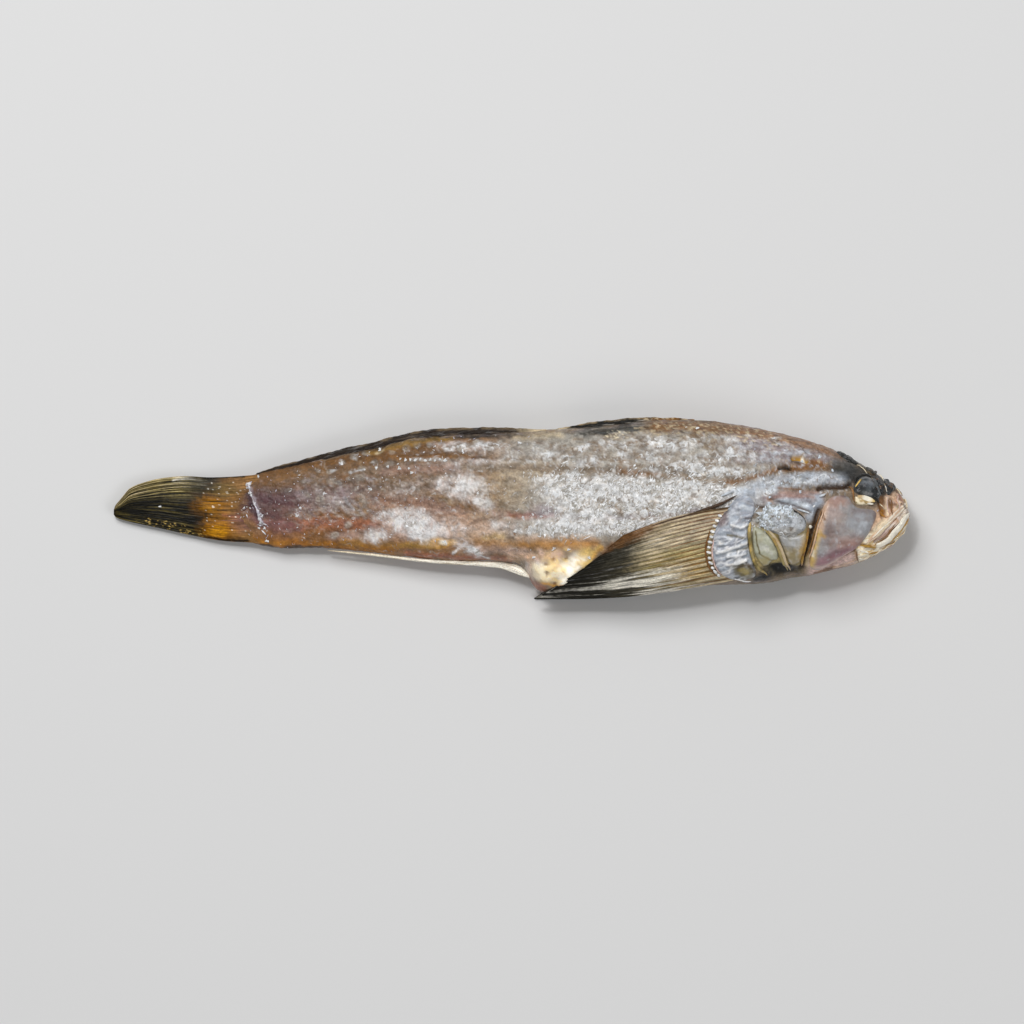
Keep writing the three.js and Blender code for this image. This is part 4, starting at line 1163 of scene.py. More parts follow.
def paint_frost(p):
    """The salt crust: pale curled flakes over taupe and brown gaps, with painted highlights on their upper
    rims and painted shade under their lower ones, and the same painted light and shade on the rear's
    wrinkles.
    """
    form = p.form
    salted, grain = frostiness(p), crust_grain(p)
    cloud = salted + 0.35 * grain
    bed = rise(salted, 0.08, 0.4)
    flaked = bed * rise(p.along, 84, 78)
    p.lay(rise(cloud, 0.1, 0.9), "white", 0.8, 0.8)
    p.lay(bed * rise(cloud, 0.5, 0.1), "taupe", 0.6, 0.8)
    p.lay(flaked * rise(form.reach, 0.85, 1.25) * rise(cloud, 0.95, 0.4), "taupe", 0.6, 0.6)
    p.lay(flaked * rise(form.reach, 1.05, 0.75) * form.pale, "white", 0.55, 0.5)
    # Painted highlight on the flakes' upper rims, painted shade under their lower rims.
    p.lay(flaked * rise(np.abs(form.reach - 0.9), 0.25, 0.05) * rise(form.up, -0.5, 0.6), "white", 0.7, 0.3)
    p.lay(flaked * rise(np.abs(form.reach - 0.95), 0.22, 0.05) * rise(form.up, -0.3, -0.9), "tan", 0.4, 0.3)
    p.lay(bed * rise(grain, -0.3, -0.6), "brown", 0.4, 0.8)
    # Painted light and shade on the rear's wrinkles: stone above, umber below.
    wrinkled = p.between(22, 52, 3) * rise(p.depth, 0.1, 0.2) * rise(np.abs(form.reach - 0.9), 0.3, 0.05)
    low = rise(p.depth, 0.95, 0.6)
    p.lay(wrinkled * low * rise(form.up, -0.2, 0.7), "stone", 0.3, 0.3)
    p.lay(wrinkled * rise(form.up, 0.1, -0.6), "umber", 0.34, 0.3)
    frosty = ("white", "frost", "taupe", "white")
    p.scratch(77, 700, 52, 80, frosty, (0.3, 1.2), (0.05, 0.11), 62, 0.5, (0.3, 0.9))
    p.line([(80, 2.0), (86, 3.0), (91, 3.2)], 1.3, "blue", 0.4)
    p.shade(p.between(50, 80, 3) * lerp(0.02, -0.07, rise(p.across, 1.5, 4.5)))
    p.shade(0.26 * p.between(78, 91, 3) * rise(p.across, 5.5, 7.5))
    p.line([(55.5, -1.9), (63, -1.9)], 1.1, "white", 0.3)
    p.spot((56.6, 1.4), (3.6, 1.6), "white", 0.22)
    p.line([(32.2, 6.3), (36.8, 7.4), (40.0, 8.0), (42.7, 8.2)], 0.6, "ochre", 0.5)
    p.line([(37.5, 5.5), (42.0, 5.5)], 0.4, "frost", 0.35)
    p.spot((41.2, -4.8), (1.5, 0.6), "honey", 0.45)
    # Painted highlight: the ivory centre of the gold spot.
    p.spot((41.6, -4.85), (0.5, 0.3), "ivory", 0.9)
    p.spot((39.0, -5.2), (2.4, 0.5), "ochre", 0.35)
    p.frost = np.maximum(p.frost, 0.7 * salted)
    p.lay(p.between(24, 54, 4) * rise(grain, -0.2, 0.4), frost=0.17)


COATS = (
    paint_rear, paint_flank, paint_back, paint_breast, paint_nape, paint_snout, paint_nape_rim,
    paint_throat, paint_gill, paint_marks, paint_rims, paint_frost,
)


def skin():
    """The whole hide: the section drawn in by the relief, with curled flakes, and every wash on it."""
    along = stations()
    turn = body_turns(along, SKIN_ROUND)
    along = np.repeat(along[:, None], SKIN_ROUND, 1)
    across, _ = section(along, turn)
    side = np.sign(np.sin(turn))
    base = bare(along, turn).reshape(-1, 3)
    place = Place(along.ravel(), across.ravel(), side.ravel(), base, wobble_at(along.ravel()))
    fade = rise(along.ravel(), 14.6, 16) * rise(along.ravel(), 100, 99)
    reach, pale, up = flake_field(place)
    loose = np.maximum(rise(frostiness(place), 0.05, 0.4), 0.7 * place.between(20, 54, 4))
    curled = (0.09 * rise(reach, 1.05, 0.8) - 0.05 * rise(reach, 0.7, 0.2)) * loose * MM
    points = base + outward(along, turn).reshape(-1, 3) * ((relief(place) + curled) * fade)[:, None]
    known = {"reach": reach, "pale": pale, "up": up, "edge": np.abs(np.sin(turn))}
    known = {key: values.reshape(along.shape) for key, values in known.items()}
    surface = rest(points).reshape(along.shape + (3,))
    form = Form(surface, along=along, across=across, side=side, **known)
    p = Painter(form, "taupe", frost=0.08, wet=0.6, wobble=wobble_at(form.along))
    for paint in COATS:
        paint(p)
    p.shade(0.16 * rough(form.points, 3 * MM, 57, 4))
    piece = Batch().add(p).build("skin", FLESH, "skin")
    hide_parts("goby")


# ---- Head plates ----------------------------------------------------------------------------------

CHEEK = [
    (87.3, -8.6), (86.95, -7.4), (87.1, -6.2), (87.4, -4.8), (87.7, -3.4), (88.1, -2.0), (88.6, -0.6),
    (89.1, 0.5), (90.0, 1.15), (91.2, 1.3), (92.1, 1.1), (92.6, 0.2), (93.1, -0.4), (94.2, -0.5),
    (95.3, -0.6), (95.9, -1.2), (95.5, -2.2), (95.0, -3.3), (94.4, -4.3), (93.7, -5.2), (92.8, -6.0),
    (91.4, -6.9), (89.8, -7.8), (88.4, -8.6),
]
CRUST = [
    (80.6, -2.2), (80.8, -1.3), (81.5, -0.6), (82.4, -0.1), (83.4, 0.0), (84.6, -0.4), (85.6, -0.9),
    (86.4, -1.5), (86.9, -2.4), (86.8, -3.2), (86.0, -3.9), (85.0, -4.4), (84.0, -4.4), (83.0, -3.9),
    (82.0, -3.6), (81.2, -3.1),
]
MEMBRANE = [
    (79.9, -2.6), (80.6, -2.7), (81.6, -3.4), (82.6, -4.4), (83.3, -5.8), (83.6, -7.4), (82.6, -7.5),
    (82.0, -8.6), (81.0, -7.9), (80.3, -6.8), (79.9, -5.0),
]
FRONT_MEMBRANE = [
    (82.9, -3.6), (84.4, -4.1), (85.9, -3.8), (86.9, -3.2), (87.1, -4.6), (86.9, -5.8), (86.3, -7.2),
    (85.4, -7.8), (84.6, -7.8), (84.0, -6.4), (83.4, -4.9),
]
PAD = [
    (78.3, 1.1), (77.2, 0.0), (76.1, -1.2), (75.3, -2.8), (74.9, -4.4), (74.8, -6.0), (75.1, -7.4),
    (75.8, -8.7), (77.0, -9.6), (79.0, -9.8), (80.9, -9.2), (80.3, -7.8), (79.7, -6.0), (79.5, -4.2),
    (79.7, -2.2), (80.5, -0.8), (80.2, 0.6), (79.4, 1.3),
]
EYE_DOME = [
    (92.7, 1.4), (92.7, 2.1), (93.1, 2.9), (93.8, 3.4), (94.7, 3.3), (95.5, 3.1), (95.9, 2.4), (96.1, 1.4),
    (95.9, 0.5), (95.1, 0.5), (94.2, 0.9), (93.3, 1.1),
]
EYE_GOLD = [(92.6, 1.0), (93.2, 0.8), (94.1, 0.5), (95.1, 0.1), (94.6, -0.25), (93.6, -0.3), (92.8, -0.1)]
BROW_PLATES = [
    [
        (90.4, 6.5), (91.2, 6.4), (92.3, 5.9), (93.3, 5.2), (93.7, 4.7), (93.2, 4.7), (92.2, 5.2),
        (91.2, 5.9),
    ],
    [(94.1, 4.5), (94.6, 4.5), (95.3, 4.1), (95.9, 3.7), (95.6, 3.4), (94.9, 3.6), (94.3, 4.0)],
    [
        (96.6, 3.0), (97.1, 3.2), (97.5, 2.7), (98.1, 2.4), (98.3, 1.7), (97.7, 1.5), (97.3, 0.9),
        (96.8, 1.1), (96.7, 2.1),
    ],
    [
        (95.3, 3.4), (96.0, 3.1), (96.4, 2.3), (96.6, 1.4), (96.2, 0.9), (95.9, 1.4), (95.8, 2.2),
        (95.4, 2.8),
    ],
]
REAR_BONE = [
    (79.75, -2.3, 0.2), (79.6, -3.5, 0.2), (79.75, -4.9, 0.17), (79.95, -6.2, 0.17), (80.3, -7.4, 0.16),
    (81.1, -8.4, 0.16), (82.0, -9.1, 0.12),
]
FRONT_BONE = [
    (81.7, -3.2, 0.2), (82.5, -4.0, 0.24), (83.2, -5.1, 0.26), (83.7, -6.3, 0.26), (84.1, -7.4, 0.24),
    (84.8, -8.7, 0.16),
]
AMBER_FOLD = [
    (86.95, -2.9, 0.12), (86.8, -4.2, 0.17), (86.55, -5.6, 0.2), (86.3, -7.0, 0.2), (86.35, -8.2, 0.12),
]
PEARL = [(87.05, -2.65, 0.12), (87.2, -2.85, 0.22), (87.2, -3.1, 0.14)]
FLAP_EDGE = [
    (78.1, 1.0, 0.14), (77.0, 0.4, 0.16), (75.6, -0.3, 0.2), (73.8, -0.8, 0.16), (71.8, -1.6, 0.14),
    (69.6, -2.1, 0.1), (67.4, -2.8, 0.06),
]


PAD_WRINKLES = [
    ([(75.6, -5.9), (77.2, -5.5), (79.4, -4.8)], 0.3), ([(76.9, -6.3), (79.2, -6.05)], 0.22),
    ([(76.9, -7.25), (78.2, -7.1), (79.3, -6.75)], 0.24), ([(77.4, -2.6), (78.6, -2.9), (79.6, -2.5)], 0.26),
]


def pleats(points):
    """Sharp crests of crumpled skin, 0 to 1, running from the belly's side up towards the snout."""
    c, s = math.cos(math.radians(16)), math.sin(math.radians(16))
    x, y, z = points.T
    turned = np.stack([c * x + s * y, c * y - s * x, z], -1)
    return np.clip(1 - 3.0 * np.abs(rough(turned, (3.4 * MM, 1.5 * MM, 2 * MM), 89, 2)), 0, 1)


CHEEK_WASHES = [
    ("wine", 0.9, 1.4, [(88.4, -7.4), (90.2, -6.3), (92.6, -5.6)]),
    ("plum", 0.35, 0.5, [(89.6, -6.2), (91.6, -5.5)]),
    ("blush", 0.9, 0.6, [(88.0, -8.0), (89.8, -7.5), (92.2, -6.2)]),
    ("rose", 0.7, 1.0, [(91.0, -4.8), (93.4, -4.6)]), ("violet", 0.7, 0.6, [(95.5, -1.0), (95.3, -1.8)]),
    ("rose", 0.7, 0.5, [(95.2, -2.4), (94.8, -3.6)]),
    ("plum", 0.8, 0.3, [(92.2, 1.3), (92.6, 0.5), (92.8, -0.2)]),
    ("violet", 0.5, 0.8, [(92.6, -0.9), (94.8, -1.0)]),
    ("peach", 0.9, 0.9, [(88.9, 0.0), (88.5, -2.0), (88.2, -3.6)]),
    ("gold", 0.9, 0.8, [(88.1, -3.6), (87.6, -5.4), (87.4, -7.6)]),
    ("rust", 0.9, 0.3, [(88.5, -1.0), (88.9, -1.9)]),
    ("rust", 0.8, 0.3, [(88.4, -1.0), (87.8, -2.6), (87.4, -4.6)]),
    ("ivory", 0.7, 0.25, [(88.3, -1.9), (88.2, -2.8)]),
    ("rust", 0.8, 0.25, [(87.5, -5.0), (87.2, -6.6), (87.1, -8.2)]),
    ("ivory", 0.7, 0.3, [(87.6, -5.8), (87.5, -6.4)]), ("ochre", 0.7, 0.4, [(88.4, -3.6), (88.9, -4.0)]),
]


def cheek(side):
    """The cheek's plate: grey and rose, rimmed with gold and rust towards the gill."""
    plate = patch(CHEEK, side, lift=0.55, dome=0.35, sink=0.9, crinkle=0.1, grain=2.0, rings=34, around=150)
    p = Painter(plate, "grey", frost=0.0, wet=0.8, wobble=0.08, grit=0.35)
    p.spot((93.4, -2.2), (1.8, 1.6), "blue", 0.3)
    p.spot((89.7, -0.6), (1.3, 2.0), "pink", 0.6, 25, 0.8)
    p.spot((90.4, 0.4), (1.5, 0.8), "rose", 0.7, 0, 0.8)
    p.spot((91.8, 1.0), (0.7, 0.35), "plum", 0.6)
    p.spot((89.6, -3.4), (0.9, 1.2), "violet", 0.7, 0, 0.8)
    p.spot((91.4, -4.8), (2.2, 1.2), "rose", 0.35, 0, 0.8)
    p.washes(CHEEK_WASHES, 0.6)
    p.mottle("violet", (2.4, 2.0, 2.0), 83, 0.1, 0.6, 0.3)
    p.mottle("silver", (1.0, 1.8, 1.8), 85, 0.2, 0.6, 0.3)
    return p


def crust(side):
    """The silver crust on the gill cover."""
    plate = patch(CRUST, side, lift=0.55, dome=0.6, sink=0.8, crinkle=0.35, grain=1.1, rings=34, around=130)
    p = Painter(plate, "silver", frost=0.75, wet=0.3, wobble=0.08)
    p.spot((84.9, -2.5), (2.2, 1.7), "grey", 0.5, frost=0.4)
    p.mottle("slate", (1.1, 0.9, 0.9), 87, 0.15, 0.45, 0.5)
    p.mottle("taupe", (1.6, 1.4, 1.4), 88, 0.2, 0.6, 0.4, p.in_spot((81.4, -2.0), (1.4, 1.6)))
    p.line([(85.2, -0.9), (86.1, -1.3), (86.6, -1.9), (86.9, -2.5)], 0.26, "black", 1.0, 0.6, frost=0.0)
    p.spot((84.2, -3.6), (1.6, 0.7), "stone", 0.7)
    return p


def membrane(side, outline, tone):
    """A wet see-through looking membrane over the gill, olive at its rim."""
    plate = patch(outline, side, lift=0.35, dome=0.35, sink=0.8, crinkle=0.08, grain=1.6, rings=22,
                  around=90)
    p = Painter(plate, tone, frost=0.05, wet=0.95, wobble=0.08, grit=0.3)
    p.mottle("frost", (1.6, 1.6, 1.6), 91, 0.0, 0.6, 0.4)
    p.spot((84.6, -4.4), (1.6, 1.2), "blue", 0.6)
    p.mottle("olive", (2.0, 3.0, 2.0), 93, 0.15, 0.6, 0.35)
    p.lay(rise(p.form.u, 0.78, 1.0), "olive", 0.7)
    p.line([(80.4, -3.4), (80.6, -5.0), (81.0, -6.4), (82.4, -7.3), (83.3, -7.7)], 0.18, "olive", 0.9)
    p.spot((86.6, -6.2), (0.7, 1.8), "ochre", 0.7)
    p.spot((86.9, -7.4), (0.5, 1.2), "rust", 0.7)
    p.spot((81.4, -7.4), (0.9, 0.7), "khaki", 0.7)
    return p


def pad(side):
    """The blue pad behind the gill, pleated and crossed by wrinkles whose white is partly their own pale
    colour, partly painted highlight, with painted slate shade under each.
    """
    sheet = patch(PAD, side, lift=0.8, dome=0.25, sink=0.9, crinkle=0.12, grain=1.2, rings=44,
                  around=190, folds=PAD_WRINKLES, pleat=0.16)
    p = Painter(sheet, "blue", frost=0.1, wet=0.85, wobble=0.05, grit=0.4)
    flat = p.form.points * (1, 1, 0) + (0, 0, FAR * side)
    p.mottle("slate", (2.4, 1.0, 1.0), 94, 0.15, 0.6, 0.4)
    low = rise(p.across, -3.6, -4.8)
    p.lay(rise(pleats(flat), 0.0, 0.25), "mauve", 0.3)
    p.mottle("silver", (2.4, 0.9, 0.9), 95, -0.1, 0.4, 0.7)
    p.mottle("slate", (2.0, 0.8, 0.8), 96, 0.25, 0.6, 0.4)
    p.spot((76.2, -1.7), (0.8, 1.1), "violet", 0.85)
    p.spot((76.4, -0.9), (0.7, 0.4), "umber", 0.7)
    p.line([(77.0, -3.8), (78.0, -3.9), (79.0, -4.2)], 0.28, "olive", 0.8)
    p.spot((79.0, -8.0), (1.1, 0.8), "olive", 0.9)
    p.spot((79.3, -7.9), (0.5, 0.3), "khaki", 0.8)
    p.line([(77.9, -7.4), (79.2, -7.05), (80.0, -7.9), (80.6, -8.8)], 0.28, "umber", 0.9)
    p.line([(78.2, -5.7), (79.4, -5.5)], 0.25, "olive", 0.7)
    p.line([(79.2, -1.8), (80.2, -1.8)], 0.35, "umber", 0.8)
    p.line([(78.0, -9.1), (80.4, -9.2)], 0.4, "ink", 0.8)
    p.line([(75.0, -5.0), (75.0, -6.4), (75.4, -7.6)], 0.3, "pink", 0.7)
    # Painted shade in slate under each wrinkle; the white along it is partly pale skin, partly painted
    # highlight.
    for path, width in PAD_WRINKLES:
        p.line([(along, across - 0.35) for along, across in path], 0.3, "slate", 0.5)
        p.line(path, width, "white", 1.0)
    # White on the pleats' crests: partly pale skin, partly painted highlight.
    p.lay(rise(pleats(flat), 0.45, 0.95) * lerp(0.25, 0.8, low), "white", 0.8)
    p.spot((79.2, -8.2), (1.4, 0.8), "olive", 0.7, -30)
    p.spot((79.1, -8.0), (0.7, 0.35), "khaki", 0.8, -20)
    p.line([(78.2, -7.6), (79.6, -7.3), (80.4, -7.9)], 0.2, "umber", 0.7)
    return p


def gill_strips(side):
    """The bones of the gill's opening, with the amber fold and the pearl between them."""
    wide = [(along, across, 1.3 * width) for along, across, width in REAR_BONE]
    ridge = roll(wide, side, lift=0.45 * MM, flat=0.8)
    rear = Painter(ridge, "khaki", frost=0.0, wet=0.9, wobble=0.05, grit=0.3)
    rear.mottle("gold", (1.4, 2, 2), 100, 0.1, 0.4, 0.6)
    rear.mottle("olive", (2, 2, 2), 97, -0.2, 0.3, 0.7)
    yield rear
    for shift, tone in ((-0.16, "khaki"), (0.16, "sand")):
        path = [(along + 1.1 * shift, across, 0.8 * width) for along, across, width in FRONT_BONE]
        ridge = roll(path, side, lift=0.6 * MM, flat=0.9)
        front = Painter(ridge, tone, frost=0.0, wet=0.9, wobble=0.05, grit=0.3)
        front.mottle("ochre", (1.4, 2, 2), 98, 0.0, 0.5, 0.6)
        yield front
    ridge = roll(AMBER_FOLD, side, lift=0.4 * MM, flat=0.6)
    fold = Painter(ridge, "ochre", frost=0.0, wet=1.0, wobble=0.05, grit=0.3)
    fold.mottle("rust", (1.4, 2, 2), 107, -0.1, 0.3, 0.8)
    fold.mottle("gold", (0.8, 1.2, 1), 108, 0.2, 0.5, 0.7)
    yield fold
    yield Painter(roll(PEARL, side, lift=0.6 * MM, flat=0.9), "ivory", frost=0.0, wet=1.0, wobble=0.03,
                  grit=0.1)


def head_plates():
    """Cheeks with their seams, crusted gill covers with membranes, gill bones and pectoral pads."""
    plates, bones, gill, pads = Batch(), Batch(), Batch(), Batch()
    for side in (1, -1):
        plates.add(cheek(side))
        gill.add(crust(side))
        gill.add(membrane(side, MEMBRANE, "glass"))
        gill.add(membrane(side, FRONT_MEMBRANE, "reed"))
        pads.add(pad(side))
        for strip in gill_strips(side):
            bones.add(strip)
        for shift, width, tone in ((0.05, 0.09, "bronze"), (0.3, 0.1, "peach")):
            edge = [(along + 0.2 + shift, across, width) for along, across in CHEEK_SEAM[:-1]]
            ridge = roll(edge, side, lift=0.75 * MM, flat=0.6, around=10, step=0.08)
            plates.add(Painter(ridge, tone, frost=0.0, wet=1.0, wobble=0.03, grit=0.3))
    plates.build("cheek_plates", FLESH, "skin")
    gill.build("gill_covers", FLESH, "skin")
    bones.build("gill_bones", FLESH, "skin")
    pads.build("pectoral_pads", FLESH, "skin")


def brow():
    """The dark plates over the eye."""
    plates = Batch()
    for side in (1, -1):
        for outline, tone in zip(BROW_PLATES, ("black", "charcoal", "ink", "ink")):
            plate = patch(outline, side, lift=0.35, dome=0.08, sink=0.7, crinkle=0.4, grain=1.3,
                          rings=14, around=60)
            p = Painter(plate, tone, frost=0.0, wet=0.8, wobble=0.05)
            p.lay(rise(p.form.u, 0.85, 1.0) * (tone == "charcoal"), "tan", 0.6)
            p.mottle("slate", (0.9, 0.9, 0.9), 99, 0.1, 0.5, 0.5)
            p.mottle("brown", (1.1, 0.7, 0.7), 105, 0.15, 0.5, 0.5, rise(p.along, 94, 96))
            plates.add(p)
    plates.build("brow_plates", FLESH, "skin")


EYE_CENTRE = (94.5, 1.8)
EYE_GROWTH = 1.06
LID = [(93.0, 0.85, 0.16), (93.8, 0.7, 0.3), (94.4, 0.5, 0.36), (95.2, 0.15, 0.16)]
# Strips round the eye: tone, height in millimetres, wetness, path.
EYE_STRIPS = [
    ("ivory", 0.6, 1.0, [(94.2, -0.05, 0.1), (94.7, -0.1, 0.14), (95.0, -0.1, 0.08)]),
    ("gold", 0.75, 1.0, [(92.7, 1.9, 0.07), (93.0, 2.3, 0.1), (93.5, 2.85, 0.1)]),
    ("black", 0.6, 1.0, [(94.9, 0.75, 0.16), (95.4, 0.4, 0.18), (95.9, 0.0, 0.1)]),
    ("black", 0.6, 0.9, [(92.6, 2.5, 0.14), (93.2, 3.3, 0.2), (94.3, 3.45, 0.18), (95.0, 3.1, 0.1)]),
    ("slate", 0.8, 1.0, [(95.0, 2.6, 0.1), (95.5, 1.8, 0.16), (95.9, 0.8, 0.1)]),
    ("bronze", 0.35, 1.0, [(92.1, 2.2, 0.14), (92.45, 1.7, 0.16), (92.55, 1.0, 0.12), (92.65, 0.2, 0.1)]),
]


def eye_dome(side):
    """The shrunken eye, slate with ink hollows and grey glints."""
    x, y = EYE_CENTRE
    wide = [(x + EYE_GROWTH * (along - x), y + EYE_GROWTH * (across - y)) for along, across in EYE_DOME]
    plate = patch(wide, side, lift=0.45, dome=0.35, sink=0.9, crinkle=0.5, grain=2.1, rings=24, around=90)
    dome = Painter(plate, "slate", frost=0.0, wet=1.0, wobble=0.05, grit=0.4)
    dome.spot((93.5, 1.9), (0.7, 0.5), "ink", 0.8)
    dome.spot((95.2, 1.2), (0.6, 0.6), "ink", 0.8)
    dome.spot((94.2, 2.3), (0.9, 0.4), "blue", 0.25)
    dome.mottle("ink", (0.9, 0.8, 0.8), 101, 0.0, 0.4, 0.5)
    dome.line([(93.4, 2.9), (94.2, 3.1), (94.8, 2.9)], 0.22, "grey", 0.5)
    dome.line([(94.9, 2.7), (95.3, 1.9), (95.9, 1.3)], 0.16, "umber", 0.8)
    dome.line([(94.1, 1.3), (94.8, 1.1)], 0.2, "grey", 0.45)
    dome.mottle("grey", (1.1, 0.5, 0.6), 106, 0.2, 0.5, 0.35)
    return dome


def eyes():
    """Each eye with its pale gold crescent, its lid and the strips round it."""
    domes = Batch()
    for side in (1, -1):
        domes.add(eye_dome(side))
        plate = patch(EYE_GOLD, side, lift=0.35, dome=0.3, sink=0.8, crinkle=0.05, grain=1.0, rings=16,
                      around=60)
        gold = Painter(plate, "cream", frost=0.0, wet=0.9, wobble=0.05, grit=0.3)
        gold.mottle("ochre", (1.2, 0.8, 0.8), 104, -0.2, 0.4, 0.7)
        gold.line([(92.6, 0.9), (92.7, 0.0)], 0.3, "amber", 0.8)
        gold.mottle("olive", (1.0, 0.6, 0.6), 102, 0.1, 0.5, 0.5)
        domes.add(gold)
        ridge = roll(LID, side, lift=0.55 * MM, flat=0.35, around=16, step=0.06)
        lid = Painter(ridge, "cream", frost=0.0, wet=0.6, wobble=0.05, grit=0.1)
        lid.spot((94.2, 0.7), (0.9, 0.3), "ivory", 0.9)
        lid.spot((93.2, 0.6), (0.5, 0.4), "ochre", 0.7)
        lid.spot((95.1, 0.1), (0.4, 0.4), "gold", 0.8)
        domes.add(lid)
        for tone, height, wet, path in EYE_STRIPS:
            ridge = roll(path, side, lift=height * MM)
            domes.add(Painter(ridge, tone, frost=0.0, wet=wet, wobble=0.05))
    domes.build("eyes", EYE, "eye")


UPPER_LIP = [
    (94.4, -4.9, 0.2), (95.3, -4.2, 0.34), (96.2, -3.1, 0.4), (97.2, -2.1, 0.4), (98.2, -1.2, 0.36),
    (99.1, -0.3, 0.3), (99.7, 0.0, 0.2),
]
MIDDLE_LIP = [
    (95.2, -4.9, 0.14), (96.4, -4.1, 0.26), (97.4, -3.0, 0.28), (98.3, -2.0, 0.26), (99.1, -1.0, 0.24),
    (99.6, -0.6, 0.16),
]
LOWER_LIP = [
    (94.0, -5.7, 0.2), (95.6, -5.5, 0.34), (96.9, -4.7, 0.38), (98.0, -3.5, 0.4), (99.0, -2.2, 0.4),
    (99.7, -1.2, 0.3),
]
CHIN = [
    (93.2, -6.6, 0.2), (95.2, -6.2, 0.3), (97.0, -5.2, 0.34), (98.4, -4.0, 0.36), (99.4, -2.8, 0.3),
    (99.8, -1.8, 0.2),
]
CREASES = [
    # Painted highlight: the ivory crease just above the mouth's slit.
    ("ivory", [(97.6, -1.9, 0.05), (96.9, -2.5, 0.1), (95.8, -3.4, 0.1), (95.0, -4.3, 0.05)]),
    ("rust", [
        (98.9, -1.0, 0.04), (98.1, -1.6, 0.09), (97.3, -2.4, 0.1), (96.4, -3.4, 0.07), (95.2, -4.8, 0.04),
    ]),
    ("bronze", [
        (98.6, -1.5, 0.04), (98.0, -2.3, 0.07), (97.0, -3.8, 0.07), (96.0, -4.7, 0.06), (95.3, -5.2, 0.04),
    ]),
    ("ivory", [
        (99.5, -1.2, 0.05), (98.8, -2.3, 0.13), (97.8, -3.6, 0.12), (96.6, -4.8, 0.1), (95.4, -5.5, 0.06),
    ]),
    ("ochre", [(99.6, -1.8, 0.06), (99.2, -2.6, 0.1), (98.2, -3.9, 0.1), (97.2, -4.7, 0.06)]),
    ("cream", [
        (99.4, -3.1, 0.06), (98.2, -4.4, 0.1), (96.8, -5.4, 0.1), (95.2, -6.3, 0.08), (93.8, -7.0, 0.05),
    ]),
    ("ochre", [(98.0, -4.5, 0.04), (97.2, -5.0, 0.07), (96.0, -5.9, 0.06), (95.4, -6.1, 0.04)]),
    ("cream", [(98.0, 1.9, 0.05), (98.5, 1.4, 0.12), (98.8, 1.0, 0.05)]),
    ("brown", [(98.2, 2.05, 0.05), (98.7, 1.6, 0.1), (99.0, 1.1, 0.05)]),
    # Painted highlight: the blush crease at 97 along.
    ("blush", [(97.0, 0.9, 0.04), (96.8, 0.3, 0.08), (96.9, -0.6, 0.08), (97.1, -1.4, 0.04)]),
    ("rust", [(97.3, 0.7, 0.05), (97.5, 0.1, 0.1), (97.3, -0.8, 0.1), (97.6, -1.5, 0.05)]),
    ("blush", [(98.4, 0.9, 0.05), (98.1, 0.3, 0.12), (98.5, -0.3, 0.1), (98.3, -0.9, 0.05)]),
    ("cream", [(99.2, 0.7, 0.05), (99.4, 0.1, 0.14), (99.3, -0.6, 0.06)]),
    ("orange", [(95.9, -1.0, 0.08), (96.3, -1.4, 0.16), (96.7, -1.7, 0.06)]),
    ("ochre", [(93.4, -5.1, 0.08), (94.4, -5.3, 0.18), (95.6, -5.5, 0.1)]),
    ("ivory", [(93.5, -5.7, 0.08), (94.0, -5.9, 0.16), (94.6, -6.0, 0.06)]),
    ("rust", [(93.1, -5.9, 0.06), (93.1, -6.6, 0.1), (93.4, -7.2, 0.06)]),
    ("ivory", [(93.4, -6.7, 0.08), (93.9, -6.8, 0.14), (94.6, -6.7, 0.06)]),
    ("ochre", [(94.6, -6.2, 0.08), (95.2, -6.1, 0.12), (95.9, -5.9, 0.06)]),
]


# The lips' folds: path, tone, stain, height in millimetres.
LIP_ROLLS = [
    (UPPER_LIP, "peach", "tan", 0.1), (MIDDLE_LIP, "blush", "ochre", 0.22),
    (LOWER_LIP, "ivory", "gold", 0.1), (CHIN, "cream", "gold", 0.0),
]
LIP_WASHES = SNOUT_WASHES[8:]  # the washes of the snout that lie on the lips


def streaks_of(a, b, seed):
    """Noise over two numbers known at each point."""
    return rough(np.stack([a, b, 0 * a], -1), 1.0, seed)


def lips():
    """The shut mouth: four rolls of lip and the creases over them."""
    batch = Batch()
    for side in (1, -1):
        for path, tone, stain, lift in LIP_ROLLS:
            wide = [(along, across, 1.3 * width) for along, across, width in path]
            ridge = roll(wide, side, lift=lift * MM, flat=0.3, around=20, step=0.08)
            p = Painter(ridge, tone, frost=0.0, wet=0.8, wobble=0.05, grit=0.4)
            streaks = streaks_of(0.3 * p.form.along, 1.3 * p.form.turn, 103)
            p.lay(rise(streaks, 0.05, 0.4), stain, 0.45)
            p.lay(rise(streaks, -0.05, -0.3), "ivory", 0.8)
            p.washes(LIP_WASHES, 0.6)
            batch.add(p)
        for tone, path in CREASES:
            ridge = roll(path, side, lift=0.28 * MM, flat=0.8, around=8, step=0.07)
            batch.add(Painter(ridge, tone, frost=0.0, wet=0.9, wobble=0.03, grit=0.6))
    batch.build("lips", LIP, "mouth")


# ---- Fins -----------------------------------------------------------------------------------------

def slab(middle, top, foot, along, **known):
    """A thin plate over a grid of middle points, between the heights top and foot."""
    over, under = middle.copy(), middle.copy()
    over[..., 2], under[..., 2] = top, foot
    both = lambda grid: np.concatenate([grid, grid[:, ::-1]], 1)
    layers = {key: both(values + 0 * along) for key, values in known.items()}
    return Form(np.concatenate([over, under[:, ::-1]], 1), along=both(along), **layers)


def build_fin(p, name, run, rays):
    """Builds a painted fin; run and rays are its millimetres along and across the fine lines."""
    Batch().add(p, flow=np.stack([run * MM, rays * MM, 0 * run], -1)).build(name, FIN, "fins")


TAIL_ROOT = 19  # how far in front of the tip the tail fin ends, inside the body
TAIL_RAYS = 23


